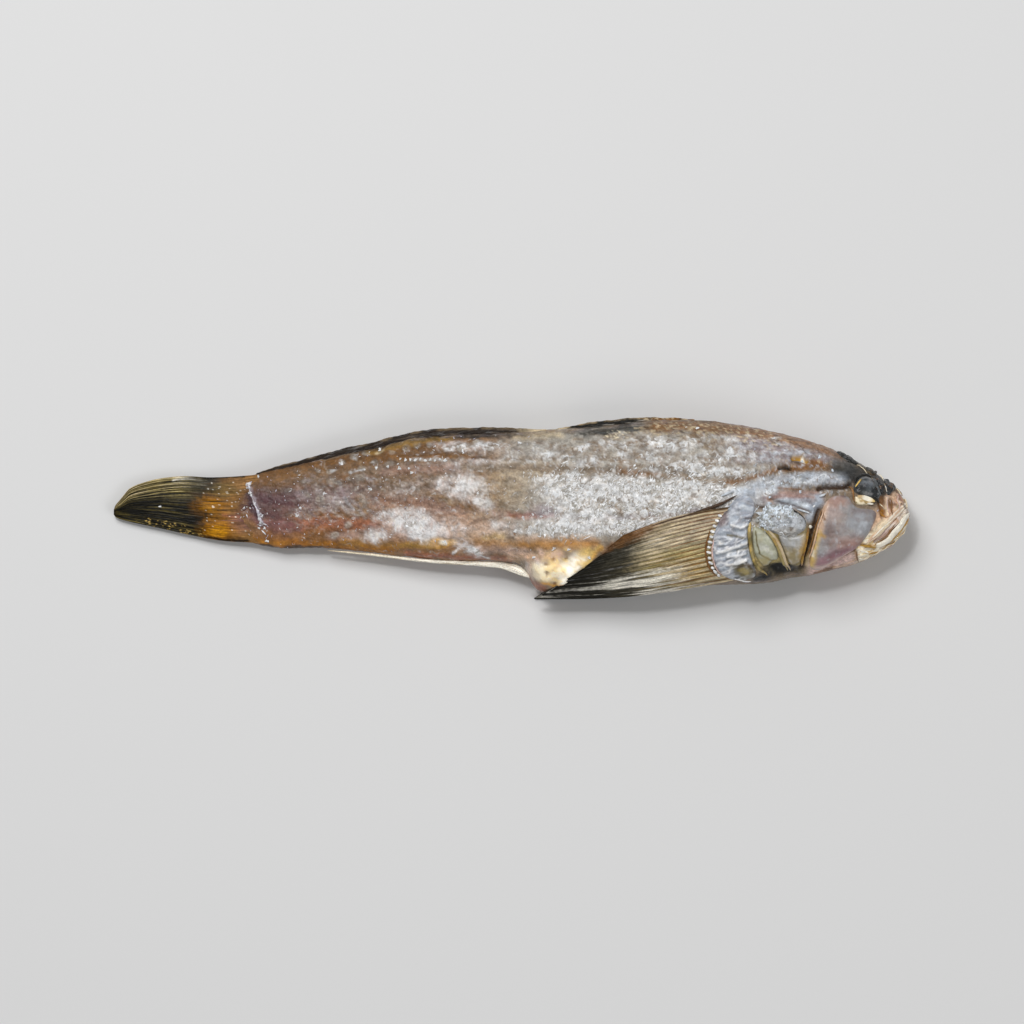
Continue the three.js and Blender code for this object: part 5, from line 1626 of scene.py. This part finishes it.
def tail_form():
    """The tail fin: a thin lens in section, ribbed by its rays and thick at its root."""
    steps = 190
    u = np.linspace(0, 1, steps)[:, None]
    v = np.linspace(0, 1, steps)[None, :]
    along = TAIL_ROOT * (1 - np.cos(u * np.pi / 2)) + ENDS[0] + 0 * v
    across = lerp(tail_foot(along), tail_top(along), v)
    ridge = np.abs(np.sin(np.pi * v * TAIL_RAYS)) ** 1.2 * rise(u, 0.85, 0.3)
    middle = np.stack([x_of(along), y_of(across), midplane(along) * PERCENT], -1)
    half = (lerp(0.28, 1.95, u**3) * (1 - 0.7 * (2 * v - 1) ** 4) + 0.10 * ridge) * MM
    wave = (0.25 * rough(middle.reshape(-1, 3), (9 * MM, 2.5 * MM, 5 * MM), 61)).reshape(along.shape) * MM
    z = middle[..., 2]
    return slab(middle, z + (half + wave), z + (wave - half), along, across=across, side=1.0, v=v)


def paint_tail_web(p, lines, broad, fine, streaks):
    """Black web with olive and khaki rays, pale along the upper rim with a painted ivory highlight there, and
    specked with gold below.
    """
    v = p.form.v
    upper, web = rise(v, 0.62, 0.9), rise(p.along, 13, 10)
    p.lay(rise(lines + 0.5 * broad, 0.4, 0.7), "olive", 0.5)
    p.lay(rise(broad, 0.2, 0.6), "charcoal", 0.7)
    p.lay(rise(fine, -0.4, 0.0) * upper * web, "olive", 0.9)
    top_part = rise(v, 0.56, 0.74) * rise(p.along, 12.5, 9)
    p.lay(rise(streaks, 0.05, -0.3) * top_part, "black", 0.85, 0.6)
    p.lay(rise(streaks, -0.05, 0.15) * top_part, "khaki", 0.85, 0.6)
    p.lay(rise(streaks, 0.25, 0.45) * top_part * rise(v, 0.6, 0.85), "sand", 0.85, 0.6)
    # Painted highlight: an ivory streak near the upper rim.
    p.lay(rise(fine, -0.1, 0.2) * p.on_line([(7.6, 2.9), (9.6, 3.0), (11.6, 2.6)], 0.5), "ivory", 0.9)
    p.lay(rise(v, 0.25, 0.08) * rise(fine, 0.0, 0.3) * web, "olive", 0.9)
    specks = np.random.default_rng(79).uniform((4, 0.02, 0.05), (13, 0.3, 0.12), (70, 3))
    for along, share, size in specks:
        across = lerp(tail_foot(along), tail_top(along), share**1.5)
        p.spot((along, across), (size, 0.6 * size), "gold", 0.6)
    p.lay(rise(fine, 0.25, 0.5) * rise(p.along, 13, 9), "olive", 0.6)
    p.lay(p.in_spot((1.4, -1.7), (1.6, 0.5), 0.5, -10) * rise(fine, -0.2, 0.1), "olive", 0.8)


def paint_tail_root(p, lines, fine):
    """Bronze and amber root, stained plum and berry, under glints of salt."""
    p.lay(rise(p.along + 2.6 * lines, 10.8, 14.8), "bronze", 0.95, 0.6)
    p.lay(rise(p.form.v, 0.55, 0.72) * p.between(9, 13.2, 1.4), "charcoal", 0.75)
    p.lay(p.between(13.4, 19, 1.2), "tan", 0.12)
    p.lay(p.in_spot((12.6, -0.2), (2.1, 1.2), 0.8) * rise(lines, -0.8, -0.1), "amber", 0.7)
    p.lay(p.in_spot((13.4, -3.2), (2.0, 1.3), 0.8) * rise(lines, -0.9, -0.3), "amber", 0.9)
    p.spot((12.4, -0.4), (1.1, 0.6), "honey", 0.3)
    p.spot((13.2, -3.5), (1.1, 0.7), "honey", 0.55)
    p.spot((14.0, 1.7), (1.8, 0.9), "olive", 0.45)
    p.mottle("umber", (1.4, 0.8, 1), 84, 0.1, 0.5, 0.4, p.between(13, 18, 1))
    p.lay(rise(fine, 0.1, 0.4) * p.between(9.5, 15, 1.5), "umber", 0.5)
    stain = p.between(13.6, 18, 0.8) * rise(fine, 0.1, 0.4) * p.on_line([(13, -1.8), (18, -2.0)], 1.0)
    p.lay(stain, "berry", 0.7)
    p.line([(14, -1.6), (17.5, -1.7)], 0.5, "red", 0.4)
    p.lay(p.in_spot((17.8, -0.6), (1.7, 2.3), 0.5), "plum", 0.95, 0.5)
    p.spot((16.4, -2.2), (1.6, 1.4), "berry", 0.4)
    glints = np.random.default_rng(80).uniform((11.4, -3.6, 0.04), (18, 2.8, 0.11), (56, 3))
    for along, across, size in glints:
        p.spot((along, across), (size, 0.8 * size), "ivory", 0.7)
    p.line([(10.5, -4.3), (17, -4.8)], 0.4, "black", 0.95)
    p.line([(11.4, 3.25), (16.5, 3.4)], 0.35, "black", 0.95)


def tail_fin():
    """The tail fin, painted along its rays."""
    form = tail_form()
    p = Painter(form, "black", frost=0.0, wet=0.7, wobble=0.2)
    # Across the rays: level in the middle of the fin and following its rims at the edges.
    ray = form.across - (tail_top(form.along) - 3.4) * rise(form.v, 0.3, 1)
    ray = ray - (tail_foot(form.along) + 4.6) * rise(form.v, 0.7, 0)
    lines, broad, fine, streaks = (
        streaks_of(form.along * run, ray * fineness, seed)
        for run, fineness, seed in ((0.10, 3.4, 63), (0.12, 1.2, 65), (0.12, 5.8, 64), (0.13, 7.4, 62))
    )
    paint_tail_web(p, lines, broad, fine, streaks)
    paint_tail_root(p, lines, fine)
    p.shade(0.25 * rough(form.points, (4 * MM, 1 * MM, 2 * MM), 67))
    build_fin(p, "tail_fin", form.along * 1.6, ray * 1.6)


def folded_fin(name, stand_knots, thickness, seed):
    """A dorsal fin folded back along the edge of the back."""
    stand = curve(stand_knots)
    first, last = stand_knots[0][0], stand_knots[-1][0]
    u = np.linspace(0, 1, int((last - first) * 8))[:, None]
    v = np.linspace(-1, 1, 30)[None, :]
    along = lerp(first, last, u) + 0 * v
    ragged = 0.12 * (along_noise(along, 2.2, seed) + 0.5 * along_noise(along, 0.6, seed)) * np.clip(v, 0, 1)
    across = back_edge(along) + np.where(v > 0, stand(along) * v, 1.2 * v) + ragged
    z = midplane(along) * PERCENT + 0.5 * MM * along_noise(along, 6.0, seed + 1)
    middle = np.stack([x_of(along), y_of(across), z], -1)
    ribs = np.abs(np.sin(np.pi * (along * 0.5 - v * 2.4 * stand(along))))
    half = thickness * MM * (0.75 - 0.35 * v) * (1 + 0.15 * ribs) / 2
    form = slab(middle, z + half, z - half, along, across=across, side=1.0, v=v)
    p = Painter(form, "black", frost=0.15, wet=0.6, wobble=0.2)
    lines = streaks_of(form.along * 0.3, form.v * 3 + form.along * 0.1, seed + 2)
    rear, front = rise(p.along, 54, 50), rise(p.along, 65, 68)
    p.lay(rise(lines, 0.0, 0.5), "charcoal", 0.9)
    p.lay(rise(lines, 0.35, 0.7), "taupe", 0.7)
    p.lay(rise(form.v, 0.5, 0.9) * rise(along_noise(form.along, 1.6, seed + 3), -0.3, 0.2), "tan", 0.85)
    p.lay(rise(lines, 0.3, 0.55) * rise(p.along, 56, 60), "stone", 0.7)
    p.lay(rear, "umber", 0.4)
    p.shade(-0.35 * rear)
    p.lay(rise(p.along, 50, 53) * rise(p.along, 58, 56), "sand", 0.9)
    p.lay(rise(p.along, 66, 69), "bronze", 0.9)
    p.mottle("sand", (1.0, 0.8, 0.8), 33, 0.1, 0.4, 0.7, front)
    p.mottle("umber", (1.0, 0.8, 0.8), 34, 0.1, 0.4, 0.7, front)
    build_fin(p, name, form.along * 1.6, form.v * 1.2 - form.along * 0.15)


ANAL = [
    (27, -5.9, 0.1), (33, -6.45, 0.16), (40, -7.3, 0.24), (46, -7.5, 0.3), (49, -7.7, 0.48),
    (50.6, -8.15, 0.66), (51.7, -8.75, 0.62), (52.5, -9.3, 0.4),
]


def anal_fin():
    """A thick cream strip along the belly's edge."""
    stations_along, around = 220, 28
    p = resample(soften(ANAL), stations_along)
    t = np.linspace(-1, 1, len(p))
    z = midplane(p[:, 0]) * PERCENT
    centre = np.stack([x_of(p[:, 0]), y_of(p[:, 1]), z], -1)
    tangent = np.gradient(centre, axis=0)
    sideways = np.cross(tangent, (0, 0, 1))
    sideways /= np.linalg.norm(sideways, axis=-1, keepdims=True)
    width = (p[:, 2] * np.sqrt(np.clip(1 - t**8, 0.03, 1)) * PERCENT)[:, None, None]
    turn = np.linspace(0, 2 * np.pi, around, endpoint=False)[None, :, None]
    upright = np.array((0, 0, 1.0))
    rings = centre[:, None] + width * np.cos(turn) * sideways[:, None] + 0.55 * MM * np.sin(turn) * upright
    rings += width * 0.12 * along_noise(p[:, 0], 1.2, 5)[:, None, None] * sideways[:, None]
    side = np.ones((len(p), around))
    form = Form(rings, along=p[:, :1], across=p[:, 1:2], side=side, turn=turn[..., 0])
    painter = Painter(form, "ivory", frost=0.0, wet=0.3, wobble=0.1)
    painter.mottle("sand", (6, 1.0, 2), 71, 0.1, 0.5, 0.6)
    painter.lay(rise(form.along, 40, 30), "cream", 0.7)
    build_fin(painter, "anal_fin", form.along * 1.6, form.turn * 1.0)


RAYS = 17
FIN_ROOT = [(77.4, -0.4), (75.3, -4.6), (77.8, -9.6)]
FIN_RIM = [(64.4, -3.9), (58.6, -8.6), (53.2, -12.0)]
FIN_FREE = (0.985, 0.88)
FIN_LOWEST = {1: 2.0 * MM, -1: 0.6 * MM}
FIN_CLEAR = 0.1 * MM


def on_arc(points, t):
    """Places on the quadratic arc that passes through three points."""
    a, b, c = points
    mix = lambda p, q, r: (1 - t) ** 2 * p + 2 * t * (1 - t) * (2 * q - (p + r) / 2) + t * t * r
    return mix(a[0], b[0], c[0]), mix(a[1], b[1], c[1])


def flap(along, across, side, free, lowest, lift):
    """A surface that follows a flank and, past a share of its depth, falls towards the table."""
    back, belly = back_edge(along), belly_edge(along)
    middle, half = (back + belly) / 2, (back - belly) / 2
    inside = np.clip(across, middle - free * half, middle + free * half)
    points, _ = on_flank(along, inside, side, lift)
    over = np.abs(across - inside) * PERCENT
    points[..., 1] = y_of(across)
    points[..., 2] = np.maximum(points[..., 2] - over, lowest)
    return points


def pectoral_form(side):
    """A fan of rays folded back along the flank."""
    u = np.linspace(0, 1, 130)[:, None]
    v = np.linspace(0, 1, RAYS * 12)[None, :]
    root_x, root_y = on_arc(FIN_ROOT, v)
    rim_x, rim_y = on_arc(FIN_RIM, v)
    fringe = 0.9 * along_noise(v * RAYS, 1.0, 73)
    along = lerp(root_x, rim_x + fringe, u)
    across = lerp(root_y, rim_y, u) + lerp(0.6, -0.8, v) * np.sin(np.pi * u)
    free = lerp(*FIN_FREE, u) + 0 * v
    middle = flap(along, across, side, free, FIN_LOWEST[side], 0.35 * MM * rise(u, 0, 0.25))
    ridge = np.abs(np.cos(np.pi * v * RAYS)) ** 1.2
    half = (lerp(0.30, 0.14, u) + 0.16 * ridge * (1 - 0.4 * u)) * MM
    z = middle[..., 2]
    top, foot = np.maximum(z + half, FIN_CLEAR + 2 * half), np.maximum(z - half, FIN_CLEAR)
    return slab(middle, top, foot, along, across=across, side=side, u=u, v=v, ridge=ridge)


def pectoral_fin(name, side):
    """Olive and sand rays from a rust root to a black rim, white along the lower rays."""
    form = pectoral_form(side)
    u, v = form.u, form.v
    p = Painter(form, "reed", frost=0.05, wet=0.5, wobble=0.15)
    lines, hairs, drift = (
        streaks_of(u * run, v * fineness, seed)
        for run, fineness, seed in ((2.0, 34, 75), (4.0, 80, 78), (3.0, 6, 74))
    )
    p.lay(p.in_spot((71.0, -7.4), (4.2, 2.4), 0.7, 8), "khaki", 0.95)
    p.lay(p.in_spot((72.0, -8.4), (3.0, 1.2), 0.7, 8), "ochre", 0.5)
    p.spot((67.0, -8.6), (3.6, 1.8), "olive", 0.5)
    p.lay(rise(v, 0.6, 0.3), "stone", 0.6)
    p.lay(rise(v, 0.36, 0.06), "brown", 0.45)
    p.lay(rise(hairs + drift, 0.0, 0.5), "olive", 0.55)
    crests = rise(form.ridge + 0.5 * hairs, 0.5, 0.9) * rise(u, 0.8, 0.4) * rise(drift, -0.5, 0.1)
    p.lay(crests, "sand", 0.95)
    p.lay(rise(form.ridge + 0.3 * hairs, 0.4, 0.15) * rise(u, 0.6, 0.15), "rust", 0.85)
    p.lay(rise(lines, 0.2, 0.5), "olive", 0.5)
    edge = lerp(0.78, 0.30, v)
    dark = rise(u + 0.10 * lines + 0.06 * rough(form.points, 4 * MM, 77) - edge, -0.10, 0.16)
    p.lay(dark, "charcoal", 0.95)
    p.lay(rise(u - edge, 0.12, 0.45), "black", 0.85)
    p.lay(rise(v, 0.3, 0.05) * rise(u, 0.55, 0.85), "rust", 0.7)
    p.lay(rise(v, 0.06, 0.0) * rise(u, 0.5, 0.3), "umber", 0.9)
    silver = rise(v, 0.6, 0.82) * rise(lines, 0.0, 0.22) * (1 - 0.75 * rise(u, 0.6, 0.9))
    p.lay(silver * rise(u, 0.12, 0.4), "ivory", 0.8)
    p.lay(silver * rise(v, 0.9, 0.96), "stone", 0.8)
    p.lay(rise(v, 0.45, 0.7) * rise(lines, 0.3, 0.5) * rise(u, 0.4, 0.6), "grey", 0.8)
    p.shade(0.18 * rough(form.points, 3 * MM, 79))
    build_fin(p, name, u * 30, v * 15)


BEADS = [
    (76.0, -1.5), (75.65, -2.1), (75.35, -2.75), (75.1, -3.4), (74.95, -4.05), (74.8, -4.7), (74.65, -5.35),
    (74.65, -5.95), (74.75, -6.6), (74.9, -7.2), (75.15, -7.75), (75.5, -8.25), (75.9, -8.7),
]


def beads():
    """The white knuckles where the pectoral rays meet the pad, on a brown and pink rim."""
    batch = Batch()
    for side in (1, -1):
        for shift, tone, width in ((-0.4, "brown", 0.13), (0.4, "blush", 0.1)):
            widths = [width * (0.4 if k < 4 else 1) for k in range(len(BEADS))]
            rim = [(along + shift, across - 0.1, wide) for (along, across), wide in zip(BEADS, widths)]
            ridge = roll(rim[2:], side, lift=0.5 * MM, flat=0.6, around=8, step=0.1)
            batch.add(Painter(ridge, tone, frost=0.0, wet=0.6, wobble=0.02))
        for k, (along, across) in enumerate(BEADS):
            slant = math.radians(-18 - 34 * max(0, k - 7) / 5)
            size = 0.28 + 0.06 * math.sin(3 * k)
            dx, dy = size * math.cos(slant), size * math.sin(slant)
            path = [(along - dx, across - dy, 0.12), (along, across, 0.2), (along + dx, across + dy, 0.12)]
            ridge = roll(path, side, lift=0.7 * MM, flat=0.8, around=8, step=0.06)
            batch.add(Painter(ridge, "white", frost=0.0, wet=0.5, wobble=0.02))
    batch.build("root_beads", FLESH, "skin")


SCAR_WIDTHS = (0.24, 0.16, 0.05, 0.03, 0.08, 0.05, 0.2, 0.14, 0.28)
SCAR_SHREDS = [
    [(19.1, -2.5, 0.08), (18.7, -2.8, 0.13), (18.2, -2.6, 0.06)], [(18.3, -1.0, 0.08), (18.8, -1.5, 0.16)],
    [(18.7, -3.3, 0.05), (19.0, -3.6, 0.1), (19.3, -3.9, 0.05)], [(17.1, 2.5, 0.07), (17.5, 2.7, 0.09)],
    [(16.8, 2.0, 0.06), (17.1, 1.9, 0.12)], [(18.9, -2.5, 0.12), (19.5, -2.7, 0.05)],
    [(16.4, -0.6, 0.05), (16.7, -0.65, 0.09)],
]
FOLD_LINES = [
    ("white", [(77.9, -9.2, 0.1), (79.0, -9.45, 0.14), (80.0, -9.5, 0.1)]),
    # Painted highlight: silver line over the pectoral fin's upper edge.
    ("silver", [(76.1, 0.9, 0.08), (77.0, 1.3, 0.16), (77.7, 1.55, 0.1)]),
    ("silver", [(88.2, 0.85, 0.1), (88.7, 0.95, 0.16), (89.1, 1.2, 0.08)]),
    ("white", [(87.5, -0.5, 0.1), (87.75, -0.2, 0.12)]),
    ("silver", [(85.5, -0.7, 0.08), (86.4, -0.95, 0.12), (87.1, -1.2, 0.1)]),
    # Painted highlight: cream streak on the snout.
    ("cream", [(95.9, 0.0, 0.05), (96.3, -0.4, 0.08), (96.5, -0.8, 0.04)]),
    ("cream", [(93.1, 4.65, 0.05), (93.9, 4.3, 0.08), (94.5, 3.5, 0.06)]),
    ("cream", [(95.7, 3.5, 0.06), (96.2, 3.2, 0.09), (96.4, 2.6, 0.06)]),
    ("sand", [(96.4, 2.3, 0.05), (96.6, 1.8, 0.08), (96.8, 1.3, 0.05)]),
    ("reed", [(94.3, 3.75, 0.05), (94.8, 3.3, 0.09), (95.1, 2.9, 0.05)]),
]


def ridges():
    """Fold lines that stand proud of the skin: the flap over the fin, wrinkles of the pad, the scar."""
    batch = Batch()
    scar = [(along, across, width) for (along, across), width in zip(SCAR, SCAR_WIDTHS)]
    for path in (scar, *SCAR_SHREDS):
        ridge = roll(path, 1, lift=0.28 * MM, flat=0.5, around=8, step=0.06)
        p = Painter(ridge, "lilac", frost=0.4, wet=0.6, wobble=0.02)
        p.mottle("white", (0.5, 0.5, 0.5), 109, 0.0, 0.3, 0.8)
        p.mottle("violet", (0.7, 0.7, 0.7), 110, 0.1, 0.4, 0.6)
        batch.add(p)
    for side in (1, -1):
        # The flap's umber edge: partly the fin's dark edge ray, partly a painted shadow of that edge.
        ridge = roll(FLAP_EDGE, side, lift=0.55 * MM)
        batch.add(Painter(ridge, "umber", frost=0.0, wet=0.5, wobble=0.02))
        for tone, path in FOLD_LINES:
            ridge = roll(path, side, lift=0.5 * MM, flat=0.6, around=8, step=0.08)
            batch.add(Painter(ridge, tone, frost=0.3, wet=0.6, wobble=0.02))
    batch.build("folds", FLESH, "skin")


# ---- Salt -----------------------------------------------------------------------------------------

OCTAHEDRON = np.array([
    (0, 2, 4), (2, 1, 4), (1, 3, 4), (3, 0, 4), (2, 0, 5), (1, 2, 5), (3, 1, 5), (0, 3, 5),
])


def scatter(rng, count, density, low, high):
    """Places over both flanks, kept with a chance that follows a density."""
    found = []
    while sum(len(part[0]) for part in found) < count:
        along = rng.uniform(low, high, 4 * count)
        side = np.where(rng.random(4 * count) < 0.7, 1.0, -1.0)
        across = lerp(belly_edge(along), back_edge(along), rng.uniform(0.02, 0.98, 4 * count))
        points = np.stack([x_of(along), y_of(across), side * 9 * MM], -1)
        keep = rng.random(4 * count) < density(Place(along, across, side, points, wobble_at(along)))
        found.append((along[keep], across[keep], side[keep]))
    return [np.concatenate(parts)[:count] for parts in zip(*found)]


def crystals(name, rng, places, length, width, height, slant, tones, lift=0.0):
    """Many small crystals in one mesh; sizes are ranges in millimetres, slant in degrees with its spread."""
    along, across, side = places
    count = len(along)
    centre, normal = on_flank(along, across, side, lift)
    forward = np.cross((0, 1, 0), normal)
    forward /= np.maximum(np.linalg.norm(forward, axis=1, keepdims=True), 1e-9)
    cross = np.cross(normal, forward)
    swirl = 55 * rough(centre, 6 * MM, 49, 2)
    angle = np.radians(slant[0] + slant[1] * rng.normal(size=count) + swirl)[:, None]
    main = np.cos(angle) * forward + np.sin(angle) * cross + 0.25 * rng.normal(size=(count, 1)) * normal
    other = np.cross(normal, main) + 0.3 * rng.normal(size=(count, 1)) * normal
    sizes = [rng.uniform(*span, size=(count, 1)) / 2 * MM for span in (length, width, height)]
    arms = [axis * size for axis, size in zip((main, other, normal), sizes)]
    jitter = rng.uniform(0.6, 1.3, size=(count, 6, 1))
    tips = np.stack([arms[0], -arms[0], arms[1], -arms[1], arms[2], -arms[2]], 1) * jitter
    points = rest(centre[:, None] + tips).reshape(-1, 3)
    faces = (OCTAHEDRON[None] + 6 * np.arange(count)[:, None, None]).reshape(-1, 3)
    shades = np.array([linear(TONES[tone]) for tone in tones])
    paint = shades[rng.integers(len(tones), size=count)] * rng.uniform(0.8, 1.12, size=(count, 1))
    head = rise(along, 77, 82)[:, None]
    paint = lerp(paint, paint * np.array([0.84, 0.92, 1.0]), head)
    return build(name, points, faces.tolist(), SALT, "salt", False, paint=np.repeat(paint, 6, 0))


LUMP_PARTS = 5  # crystals in a lump
# The lumps of salt that can be told apart: place and size.
NAMED_GRAINS = [
    (16.8, 2.3, 0.5), (17.45, 1.0, 0.3), (17.8, -0.1, 0.4), (18.25, -1.0, 0.6), (18.4, -1.9, 0.6),
    (18.65, -2.4, 0.6), (17.2, 2.5, 0.6), (16.9, 1.9, 0.5), (17.3, 1.3, 0.4), (18.7, -1.5, 0.7),
    (19.1, -3.0, 0.6), (18.4, -3.1, 0.4), (8.9, 2.9, 0.3), (5.2, -3.0, 0.3), (6.4, -3.4, 0.3),
    (8.6, -3.6, 0.3), (10.4, 0.0, 0.3), (13.0, -2.9, 0.5), (5.9, -0.4, 0.5), (66.0, -6.0, 0.8),
    (87.25, -2.85, 0.8), (32.4, 1.8, 1.3), (86.3, 5.3, 1.1), (41.8, -4.85, 0.9), (68.3, 7.2, 1.1),
    (51.5, -1.9, 0.6), (52.7, -1.4, 0.45), (53.8, -1.6, 0.45), (50.6, -3.5, 0.4), (55.4, -5.7, 0.6),
    (57.2, -5.7, 0.7), (59.8, -6.8, 0.5), (52.9, -6.7, 0.5), (19.4, -4.7, 0.7), (23.2, -1.5, 0.6),
    (23.6, -0.6, 0.5), (26.6, 1.2, 0.5), (36.1, 4.4, 0.7), (37.3, 4.3, 0.5), (37.6, 3.9, 0.5),
    (34.6, 4.6, 0.5), (33.2, 4.5, 0.5), (51.1, 7.6, 0.5), (44.0, 6.6, 0.9), (33.6, 6.6, 1.1),
    (28.8, 5.1, 0.8), (18.3, 3.4, 0.5), (15.5, 3.0, 0.5), (16.6, -0.6, 0.7), (14.2, -0.4, 0.4),
    (14.3, -1.7, 0.4), (83.3, -5.9, 0.5), (73.3, 9.4, 0.6), (63.2, -8.0, 0.4), (90.1, 4.2, 0.5),
    (88.4, 5.6, 0.5), (86.0, 1.4, 0.6), (82.2, 0.0, 0.5), (71.4, -4.1, 0.6), (76.5, 2.5, 0.5),
]


def crust_places(rng, count, centre, radii):
    """Places on the domes of both gill covers, with the domes' height in millimetres."""
    turn, reach = rng.uniform(0, 2 * np.pi, count), np.sqrt(rng.random(count))
    along = centre[0] + radii[0] * reach * np.cos(turn)
    across = centre[1] + radii[1] * reach * np.sin(turn)
    return (along, across, rng.choice([1.0, -1.0], count)), 0.55 + 0.6 * (1 - reach**2)


def on_crust(power, top):
    """How densely loose salt lies: less towards the head, and none above a place across."""
    return lambda p: frostiness(p) ** power * rise(p.along, 94, 76) * rise(p.across, top, 3)


def salt():
    """Frost needles and flakes on the crust, grains at the tail, and the lumps that can be told apart."""
    rng = np.random.default_rng(7)
    flake_count, crust_count = 1900, 500
    white = ("white", "white", "frost")
    places = scatter(rng, 4600, on_crust(1.5, 6), 30, 92)
    crystals("salt_frost", rng, places, length=(0.7, 2.0), width=(0.1, 0.22), height=(0.05, 0.14),
             slant=(58, 20), tones=(*white, "stone"))
    places = scatter(rng, flake_count, on_crust(2, 7), 30, 92)
    more, height = crust_places(rng, crust_count, (83.2, -1.8), (2.6, 1.6))
    places = [np.concatenate(pair) for pair in zip(places, more)]
    lift = np.concatenate([np.zeros(flake_count), height]) * MM
    tones = (*white, "stone", "stone")
    crystals("salt_flakes", rng, places, length=(0.5, 1.3), width=(0.3, 0.8), height=(0.06, 0.16),
             slant=(50, 50), tones=tones, lift=lift)
    places = scatter(rng, 460, lambda p: 0.12 + 0.8 * rise(p.along, 48, 36) + 0.3 * bloom(p), 13, 98)
    tones = ("white", "lilac")
    crystals("salt_grains", rng, places, length=(0.2, 0.8), width=(0.1, 0.26), height=(0.1, 0.25),
             slant=(60, 60), tones=tones, lift=0.06 * MM)
    row = [(36.2 + 0.62 * k, 5.45 + 0.05 * (-1) ** k, 0.42 + 0.14 * math.sin(3 * k)) for k in range(10)]
    along, across, size = np.array(NAMED_GRAINS + row).T
    lumps = np.repeat(np.stack([along, across, np.ones(len(along))]), LUMP_PARTS, 1)
    lumps[:2] += rng.normal(size=(2, lumps.shape[1])) * 0.12 * np.repeat(size, LUMP_PARTS)
    crystals("salt_lumps", rng, lumps, length=(0.3, 0.8), width=(0.25, 0.55), height=(0.3, 0.5),
             slant=(30, 60), tones=("white",), lift=0.1 * MM)


# ---- Studio ---------------------------------------------------------------------------------------

FLOOR_TONE = (0.72, 0.72, 0.72)
FLOOR_REACH = 2
SKY_LIGHT = 0.24
LAMPS = [
    ("key", (-0.22, 0.46, 0.86), 0.5, 5.4), ("spark", (-0.16, 0.30, 0.95), 0.1, 1.8),
    ("fill", (0.6, -0.42, 0.7), 0.6, 1.9),
]
FRAME_WIDTH = 0.2053  # metres across the picture, at the height of the fish's middle
MIDDLE_HEIGHT = 8 * MM
FOCAL_LENGTH, SENSOR_WIDTH = 220, 36


def lamp(name, place, size, power):
    """A round lamp that faces the fish."""
    light = bpy.data.lights.new(name, "AREA")
    light.shape = "DISK"
    light.size = size
    light.energy = power
    piece = bpy.data.objects.new(name, light)
    piece.location = place
    piece.rotation_euler = (-piece.location).to_track_quat("-Z", "Y").to_euler()
    bpy.context.scene.collection.objects.link(piece)


def studio():
    """A pale floor, soft light from the back's side, and a camera straight above."""
    mesh = bpy.data.meshes.new("floor")
    far = FLOOR_REACH
    mesh.from_pydata([(-far, -far, 0), (far, -far, 0), (far, far, 0), (-far, far, 0)], [], [(0, 1, 2, 3)])
    paper = Graph("floor_paper").set(Base_Color=FLOOR_TONE, Roughness=0.9, Specular_IOR_Level=0.1)
    mesh.materials.append(paper)
    floor = bpy.data.objects.new("floor", mesh)
    bpy.context.scene.collection.objects.link(floor)
    for name, place, size, power in LAMPS:
        lamp(name, place, size, power)
    world = bpy.data.worlds.new("studio")
    world.use_nodes = True
    sky = world.node_tree.nodes["Background"].inputs
    sky["Color"].default_value = (1, 1, 1, 1)
    sky["Strength"].default_value = SKY_LIGHT
    bpy.context.scene.world = world
    lens = bpy.data.cameras.new("camera")
    lens.lens = FOCAL_LENGTH
    lens.sensor_width = SENSOR_WIDTH
    camera = bpy.data.objects.new("camera", lens)
    camera.location = (0, 0, MIDDLE_HEIGHT + FRAME_WIDTH * FOCAL_LENGTH / SENSOR_WIDTH)
    bpy.context.scene.collection.objects.link(camera)
    bpy.context.scene.camera = camera
    bpy.context.scene.view_settings.view_transform = "Standard"


skin()
head_plates()
brow()
eyes()
lips()
ridges()
beads()
tail_fin()
folded_fin("dorsal_fin_rear", SECOND_DORSAL, 1.2, 31)
folded_fin("dorsal_fin_front", FIRST_DORSAL, 1.4, 35)
anal_fin()
pectoral_fin("pectoral_fin_right", 1)
pectoral_fin("pectoral_fin_left", -1)
salt()
studio()
